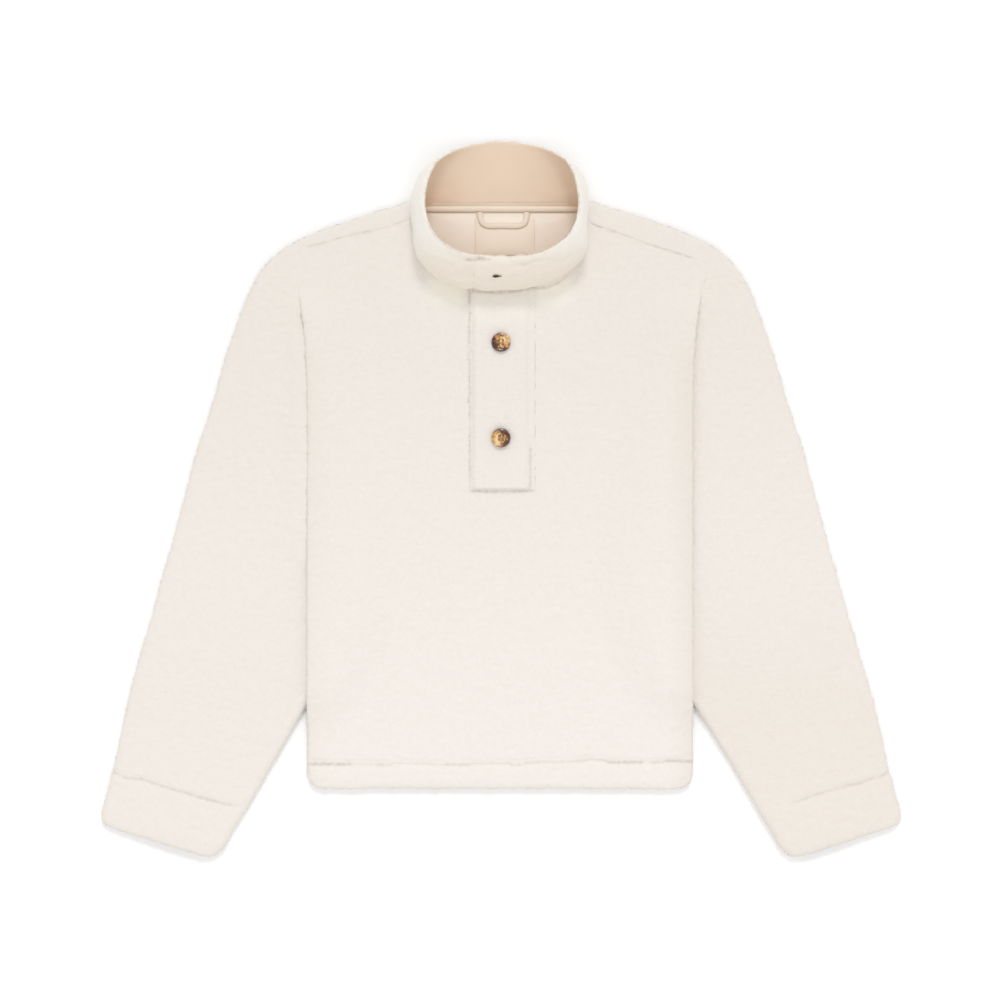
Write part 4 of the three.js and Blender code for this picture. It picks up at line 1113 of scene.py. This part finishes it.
def buildPlacket():
    over = {"left": -31.5, "right": 34.7, "bottom": 9.5, "top": 222.4, "low": 10.3, "round": 7, "soft": 4.0}
    under = {"left": -27.7, "right": 29.7, "bottom": 13.3, "top": 236.4, "low": 5.8, "round": 1, "soft": 0.0}
    size = {"step": 1.2, "rowStep": 1.4, "band": 8, "bandStep": 0.8, "amount": 0.8, "pale": 0.4}
    for name, area, seed in (("placket_over", over, 240), ("placket_under", under, 250)):
        xs = spread(area["left"], area["right"], size["step"], size["band"], size["bandStep"])
        ys = spread(area["bottom"], area["top"], size["rowStep"], size["band"], size["bandStep"])
        x, y = np.meshgrid(xs, ys)
        wide = area["round"]
        slopes = ((x - area["left"]) / wide, (area["right"] - x) / (1.6 * wide), (y - area["bottom"]) / (0.5 * wide))
        fall = np.max([smooth(1 - slope) for slope in slopes], axis=0)
        height = area["low"] + cloth["wall"] - area["soft"] * fall + frontSwell(x, y)
        if name == "placket_over":
            seamRoll = 0.6 * trough(x - 33.4, 2) - 0.3 * trough(x - 30.4, 2.4)
            height += seamRoll * (0.6 + 0.6 * softNoise(x, y, 90, 38, 245))
            for buttonY in buttonYs.values():
                height -= smooth(1.5 - np.hypot(x - buttonX, y - buttonY) / buttonReach)
        points = fluff(np.dstack([x, y, height]), x, y, seed, size["amount"])
        if name == "placket_over":
            noteTufts(name, points[:, 0], (-1, 0, 0.5))
            noteTufts(name, points[0], (0, -1, 0.5))
        rim = [(-0.3, lowerBy(0.6)), (0, lowerBy(1.3)), (4, lowerBy(1.3))]
        plan = points[..., :2].copy()
        gentle = [(-1.3, lowerBy(0.35)), (-2.4, lowerBy(0.9)), (-1, lowerBy(2))]
        for axis, end in ((1, 0), (1, -1), (0, 0), (0, -1)):
            chosen = gentle if (axis, end, name) == (1, -1, "placket_over") else rim
            points = turnUnder(points, axis, end, chosen, inwardsFrom(plan, axis, end))
        lines = ["placketLeft", "placketFoot", "placketRight", "collarFoot"] if name == "placket_over" else []
        surfaces[name] = points
        px, py = points[..., 0], points[..., 1]
        layers = seamLayers(px, py, lines, neckShadeAndTone(px, py))
        # painted light on the placket just below the collar, where the collar's shadow falls
        layers["pale"] = size["pale"] * smooth((py - 176) / 26)
        strip = addSheet(f"{name}_fleece", points, layers=layers)
        dress(strip, [name], ivoryFleece)


# Small flat pieces inside the neck
def buildFlatPiece(name, outline, low, wall, material, under):
    # a thin flat piece with soft edges, from an outline seen from above
    outline = np.array(outline, float)
    middle = outline.mean(axis=0)
    rings = [(1, 0), (1, 0.6), (0.985, 1), (0.5, 1), (0, 1)]
    points = [[(*mix(middle, corner, share), low + wall * rise) for corner in outline] for share, rise in rings]
    points = np.array(points)
    piece = addSheet(name, points, tube=True, layers={"shade": np.zeros(points.shape[:2])})
    dress(piece, [under], material)
    return piece


def denseOutline(corners, step=2.0):
    outline = []
    for (ax, ay), (bx, by) in zip(corners, corners[1:] + corners[:1]):
        count = max(1, round(math.hypot(bx - ax, by - ay) / step))
        outline += [(mix(ax, bx, i / count), mix(ay, by, i / count)) for i in range(count)]
    return outline


def addRidge(name, xs, profile, under, material):
    # a long narrow piece with the same cross-section all along: distance up the garment, height and shade
    points = np.array([[(x, y, z) for x in xs] for y, z, _ in profile])
    # painted shade from the profile, deeper towards the piece's ends
    shade = np.array([[dark * (0.6 + 0.4 * abs(x) / 80) for x in xs] for _, _, dark in profile])
    piece = addSheet(name, points, layers={"shade": shade})
    dress(piece, under, material)
    return piece


def buildNeckPieces():
    facingOutline = [
        (-78, 302.4), (-78, 280), (-66, 250), (-42, 234), (0, 228), (44, 234), (70, 250), (83, 280), (84, 302.4),
    ]
    labelOutline = [(-26, 254), (36, 254), (36, 297), (-26, 297)]
    dense = denseOutline(facingOutline)
    facing = buildFlatPiece("neck_facing_jersey", dense, 4.5, 1, innerJersey, "neck_facing")
    dense = denseOutline(labelOutline)
    label = buildFlatPiece("neck_label_cloth", dense, 5.8, 0.6, satinLabel, "neck_label")
    # the tape's profile: distance up the garment, height and painted shade, darkest in two lines along it
    strip = [
        (301.6, 5.6, 1), (301.8, 6.6, 1), (302.8, 6.9, 0.7), (303.6, 7.5, 0.1), (305.4, 8.1, 0), (306.8, 8.2, 0),
        (307.9, 7.6, 0.3), (308.6, 6.9, 0.9), (310.2, 6.9, 0.8), (311.4, 7.1, 0.4), (311.8, 6.0, 0.4),
    ]
    tape = addRidge("neck_tape_cloth", np.linspace(-79, 81, 81), strip, ["neck_tape"], twillTape)
    sewnOn = [label, tape, buildLoop()]


def buildLoop():
    path = [
        (-21.5, 302), (-20.5, 295.5), (-18.6, 291), (-13.5, 288), (2, 287.8), (21, 288), (26, 291), (27.6, 295.5),
        (28.6, 302),
    ]
    line = alongCurve(curveThrough(path), np.linspace(0, 1, 70))
    along = unit(np.gradient(line, axis=0))
    sideways = np.stack([-along[:, 1], along[:, 0]], axis=1)
    profile = [(-3, 6.6), (-3, 7.4), (-2.5, 7.8), (0, 7.85), (2.5, 7.8), (3, 7.4), (3, 6.6)]
    bands = [np.column_stack([line + sideways * wide, np.full(len(line), high)]) for wide, high in profile]
    points = np.stack(bands)
    # painted shade along the loop's edges
    shade = np.repeat([[1], [0.9], [0.25], [0], [0.1], [0.5], [0.6]], len(line), axis=1)
    piece = addSheet("hanger_loop_cloth", points, flip=True, layers={"shade": shade})
    dress(piece, ["hanger_loop"], twillTape)
    return piece


def finishButtons():
    # a clear patch where each button is lightest, and thread through its holes
    size = {"holes": 2.1, "apart": 0.35, "high": 17.2, "bow": 0.75, "samples": 9}
    glows = {"button_upper": (4.5, 168.5, 18), "button_lower": (-3.2, 62.5, 18)}
    along = np.linspace(-size["holes"], size["holes"], size["samples"])
    high = size["high"] + size["bow"] * np.sin(np.linspace(0, np.pi, size["samples"]))
    for name, glow in glows.items():
        node = frame["nodes"][name]
        node.data.materials.clear()
        node.data.materials.append(makeTortoiseshell(f"tortoiseshell_{name}", glow))
        bars = []
        for x in (buttonX - size["holes"], buttonX + size["holes"]):
            for across in (-size["apart"], size["apart"]):
                bars.append(np.column_stack([np.full(len(along), x + across), buttonYs[name] + along, high]))
        addThreads(f"{name}_thread", bars, threadRadius, tanThread)


def roundRing(sides, radius, height, bend=0):
    turns = [2 * math.pi * k / sides for k in range(sides)]
    return [(bend + radius * math.cos(turn), radius * math.sin(turn), height) for turn in turns]


def ringFaces(rings, sides, first=0):
    # the faces between neighbouring rings of corners
    faces = []
    for ring in range(rings - 1):
        for k in range(sides):
            a, b = first + ring * sides + k, first + ring * sides + (k + 1) % sides
            faces.append((a, b, b + sides, a + sides))
    return faces


def addThreads(name, lines, radius, material):
    corners, faces, sides = [], [], 6
    for line in lines:
        along = unit(np.gradient(line, axis=0))
        side = unit(np.cross(along, (0, 0, 1)))
        rise = np.cross(side, along)
        first = len(corners)
        turns = np.linspace(0, 2 * np.pi, sides, endpoint=False)
        for point, across, high in zip(line, side, rise):
            corners += [point + radius * (np.cos(t) * across + np.sin(t) * high) for t in turns]
        faces += ringFaces(len(line), sides, first)
    piece = addMesh(name, corners, faces)
    dress(piece, [], material)
    return piece


# Tufts of pile along the edges, scattered by Geometry Nodes
def makeLock():
    # one curved lock of pile, two millimetres long, standing along z
    corners, sides, tip = [], 4, (1.15, 0, 2.1)
    levels = [(0.55, 0, 0), (0.6, 0.9, 0.12), (0.42, 1.7, 0.5)]
    for level in levels:
        corners += roundRing(sides, *level)
    top = (len(levels) - 1) * sides
    faces = ringFaces(len(levels), sides)
    faces += [(top + k, top + (k + 1) % sides, len(corners)) for k in range(sides)]
    return smallShape("lock", corners + [tip], faces)


def makeStitch():
    # one stitch along z, thicker at its middle
    corners, sides = [], 5
    levels = [(0.1, -1.25), (0.28, -0.8), (0.32, 0), (0.28, 0.8), (0.1, 1.25)]
    for level in levels:
        corners += roundRing(sides, *level)
    return smallShape("stitch", corners, ringFaces(len(levels), sides))


def smallShape(name, corners, faces):
    mesh = bpy.data.meshes.new(name)
    mesh.from_pydata((np.array(corners) * millimetre).tolist(), [], faces)
    mesh.polygons.foreach_set("use_smooth", [True] * len(mesh.polygons))
    shape = bpy.data.objects.new(name, mesh)
    bpy.context.collection.objects.link(shape)
    return shape


def makeScatterTree():
    # copies of a small shape on points, each turned to its point's aim and spun about it
    sockets = {"Geometry": "Geometry", "Shape": "Object", "Material": "Material"}
    tree, entry, leave = newTree("shapesOnPoints", "GeometryNodeTree", sockets, {"Geometry": "Geometry"})
    shape = tree.nodes.new("GeometryNodeObjectInfo")
    aim = addNode(tree, "GeometryNodeInputNamedAttribute", data_type="FLOAT_VECTOR", Name="aim")
    length = addNode(tree, "GeometryNodeInputNamedAttribute", data_type="FLOAT", Name="length")
    spin = addNode(tree, "GeometryNodeInputNamedAttribute", data_type="FLOAT", Name="spin")
    stand = addNode(tree, "FunctionNodeAlignRotationToVector", axis="Z")
    turn = addNode(tree, "FunctionNodeAxisAngleToRotation", Axis=(0, 0, 1))
    both = addNode(tree, "FunctionNodeRotateRotation", rotation_space="LOCAL")
    placed = tree.nodes.new("GeometryNodeInstanceOnPoints")
    real = tree.nodes.new("GeometryNodeRealizeInstances")
    finish = tree.nodes.new("GeometryNodeSetMaterial")
    wire(
        tree,
        (entry, "Geometry", placed, "Points"), (entry, "Shape", shape, "Object"),
        (shape, "Geometry", placed, "Instance"), (aim, "Attribute", stand, "Vector"),
        (spin, "Attribute", turn, "Angle"), (stand, "Rotation", both, "Rotation"),
        (turn, "Rotation", both, "Rotate By"), (both, "Rotation", placed, "Rotation"),
        (length, "Attribute", placed, "Scale"), (placed, "Instances", real, "Geometry"),
        (real, "Geometry", finish, "Geometry"), (entry, "Material", finish, "Material"),
        (finish, "Geometry", leave, "Geometry"),
    )
    return tree


def plainFrom(holder):
    # the evaluated mesh of a modified object, as a plain object without its modifiers
    evaluated = holder.evaluated_get(bpy.context.evaluated_depsgraph_get())
    mesh = bpy.data.meshes.new_from_object(evaluated)
    holder.modifiers.clear()
    holder.data = mesh
    return holder


def scatter(name, spots, aims, lengths, spins, shape, material, tree):
    # copies of one small shape, each standing along its own direction, as one plain mesh
    holder = addMesh(name, spots, np.zeros((0, 4), int))
    for layer, values in (("aim", aims), ("length", lengths), ("spin", spins)):
        kind, key = ("FLOAT_VECTOR", "vector") if np.ndim(values) > 1 else ("FLOAT", "value")
        holder.data.attributes.new(layer, kind, "POINT").data.foreach_set(key, np.asarray(values, float).ravel())
    sockets = {item.name: item.identifier for item in tree.interface.items_tree if item.in_out == "INPUT"}
    modifier = holder.modifiers.new(name, "NODES")
    modifier.node_group = tree
    modifier[sockets["Shape"]] = shape
    modifier[sockets["Material"]] = material
    plainFrom(holder)
    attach(holder, bodyName)
    return holder


def growTufts(tree):
    size = {
        "spacing": 1.5, "sink": 0.7, "length": (0.55, 1.15), "wild": 0.55, "lowest": 0.6,
        "neckHalf": 92, "neckFrom": 262, "turn": 6.28,
    }
    lock = makeLock()
    for number, (name, edges) in enumerate(tuftPlaces.items()):
        chance = np.random.default_rng(700 + number)
        spots, aims = [], []
        for points, directions in edges:
            lengths = runAlong(points)
            at = chance.uniform(0, lengths[-1], int(lengths[-1] / size["spacing"]))
            spot = placesAlong(points, at)
            aim = unit(np.stack([np.interp(at, lengths, axis) for axis in directions.T], axis=1))
            spots.append(spot - aim * size["sink"])
            aims.append(aim + chance.normal(0, size["wild"], aim.shape))
        spots, aims = np.vstack(spots), np.vstack(aims)
        aims[:, 2] = np.where(spots[:, 2] < 2, np.abs(aims[:, 2]), aims[:, 2])
        spots[:, 2] = np.maximum(spots[:, 2], size["lowest"])
        inNeck = (np.abs(spots[:, 0]) < size["neckHalf"]) & (spots[:, 1] > size["neckFrom"])
        keep = ~inNeck | (name == "collar_outer")
        spots, aims = spots[keep], aims[keep]
        lengths = chance.uniform(*size["length"], len(spots))
        spins = chance.uniform(0, size["turn"], len(spots))
        scatter(f"{name}_tufts", spots, aims, lengths, spins, lock, ivoryFleece, tree)
    bpy.data.objects.remove(lock)


def sewStitches(tree):
    # thread sunk in the sewn lines, each stitch along its line
    size = {"pitch": 3.4, "lift": -0.1, "length": (0.85, 1.1)}
    on = {
        "hem": "front", "shoulderLeft": "front", "shoulderRight": "front", "placketLeft": "front",
        "placketFoot": "placket_over", "placketRight": "placket_over",
        "cuffLeft": "sleeve_left", "cuffRight": "sleeve_right",
    }
    stitch = makeStitch()
    spots, aims = [], []
    for name, below in on.items():
        grid = surfaces[below].reshape(-1, 3)
        grid = grid[grid[:, 2] > 6]
        line = np.array(seamLines[name], float)[:, :2]
        at = np.arange(size["pitch"], runAlong(line)[-1] - size["pitch"], size["pitch"])
        for (x, y), (nextX, nextY) in zip(placesAlong(line, at), placesAlong(line, at + 1)):
            nearest = grid[np.argmin(np.hypot(grid[:, 0] - x, grid[:, 1] - y))]
            spots.append((x, y, nearest[2] + size["lift"]))
            aims.append((nextX - x, nextY - y, 0))
    count = len(spots)
    lengths = np.random.default_rng(760).uniform(*size["length"], count)
    scatter("sewing_stitches", spots, aims, lengths, np.zeros(count), stitch, ivoryThread, tree)
    bpy.data.objects.remove(stitch)


def layFloor():
    mesh = bpy.data.meshes.new("floor")
    reach, low = 4, -0.0004  # metres
    corners = [(-reach, -reach, low), (reach, -reach, low), (reach, reach, low), (-reach, reach, low)]
    mesh.from_pydata(corners, [], [(0, 1, 2, 3)])
    floor = bpy.data.objects.new("floor", mesh)
    bpy.context.collection.objects.link(floor)
    material, _, skin = newMaterial("paleFloor")
    setInputs(skin, {"Base Color": (0.97, 0.97, 0.97, 1), "Roughness": 1, "Specular IOR Level": 0})
    mesh.materials.append(material)


placeCamera()
placeLights()
layFloor()
print("camera, lights and floor placed")
buildFrontPanel()
print("front panel made")
buildBackPanel()
print("back panel made")
buildSleeve(-1, "sleeve_left")
buildSleeve(1, "sleeve_right")
print("sleeves made")
buildCollar()
buildCollarLining()
buildButtonhole()
print("collar made")
buildPlacket()
buildNeckPieces()
finishButtons()
print("placket, neck pieces and buttons made")
scatterTree = makeScatterTree()
growTufts(scatterTree)
sewStitches(scatterTree)
print("tufts and stitches made")
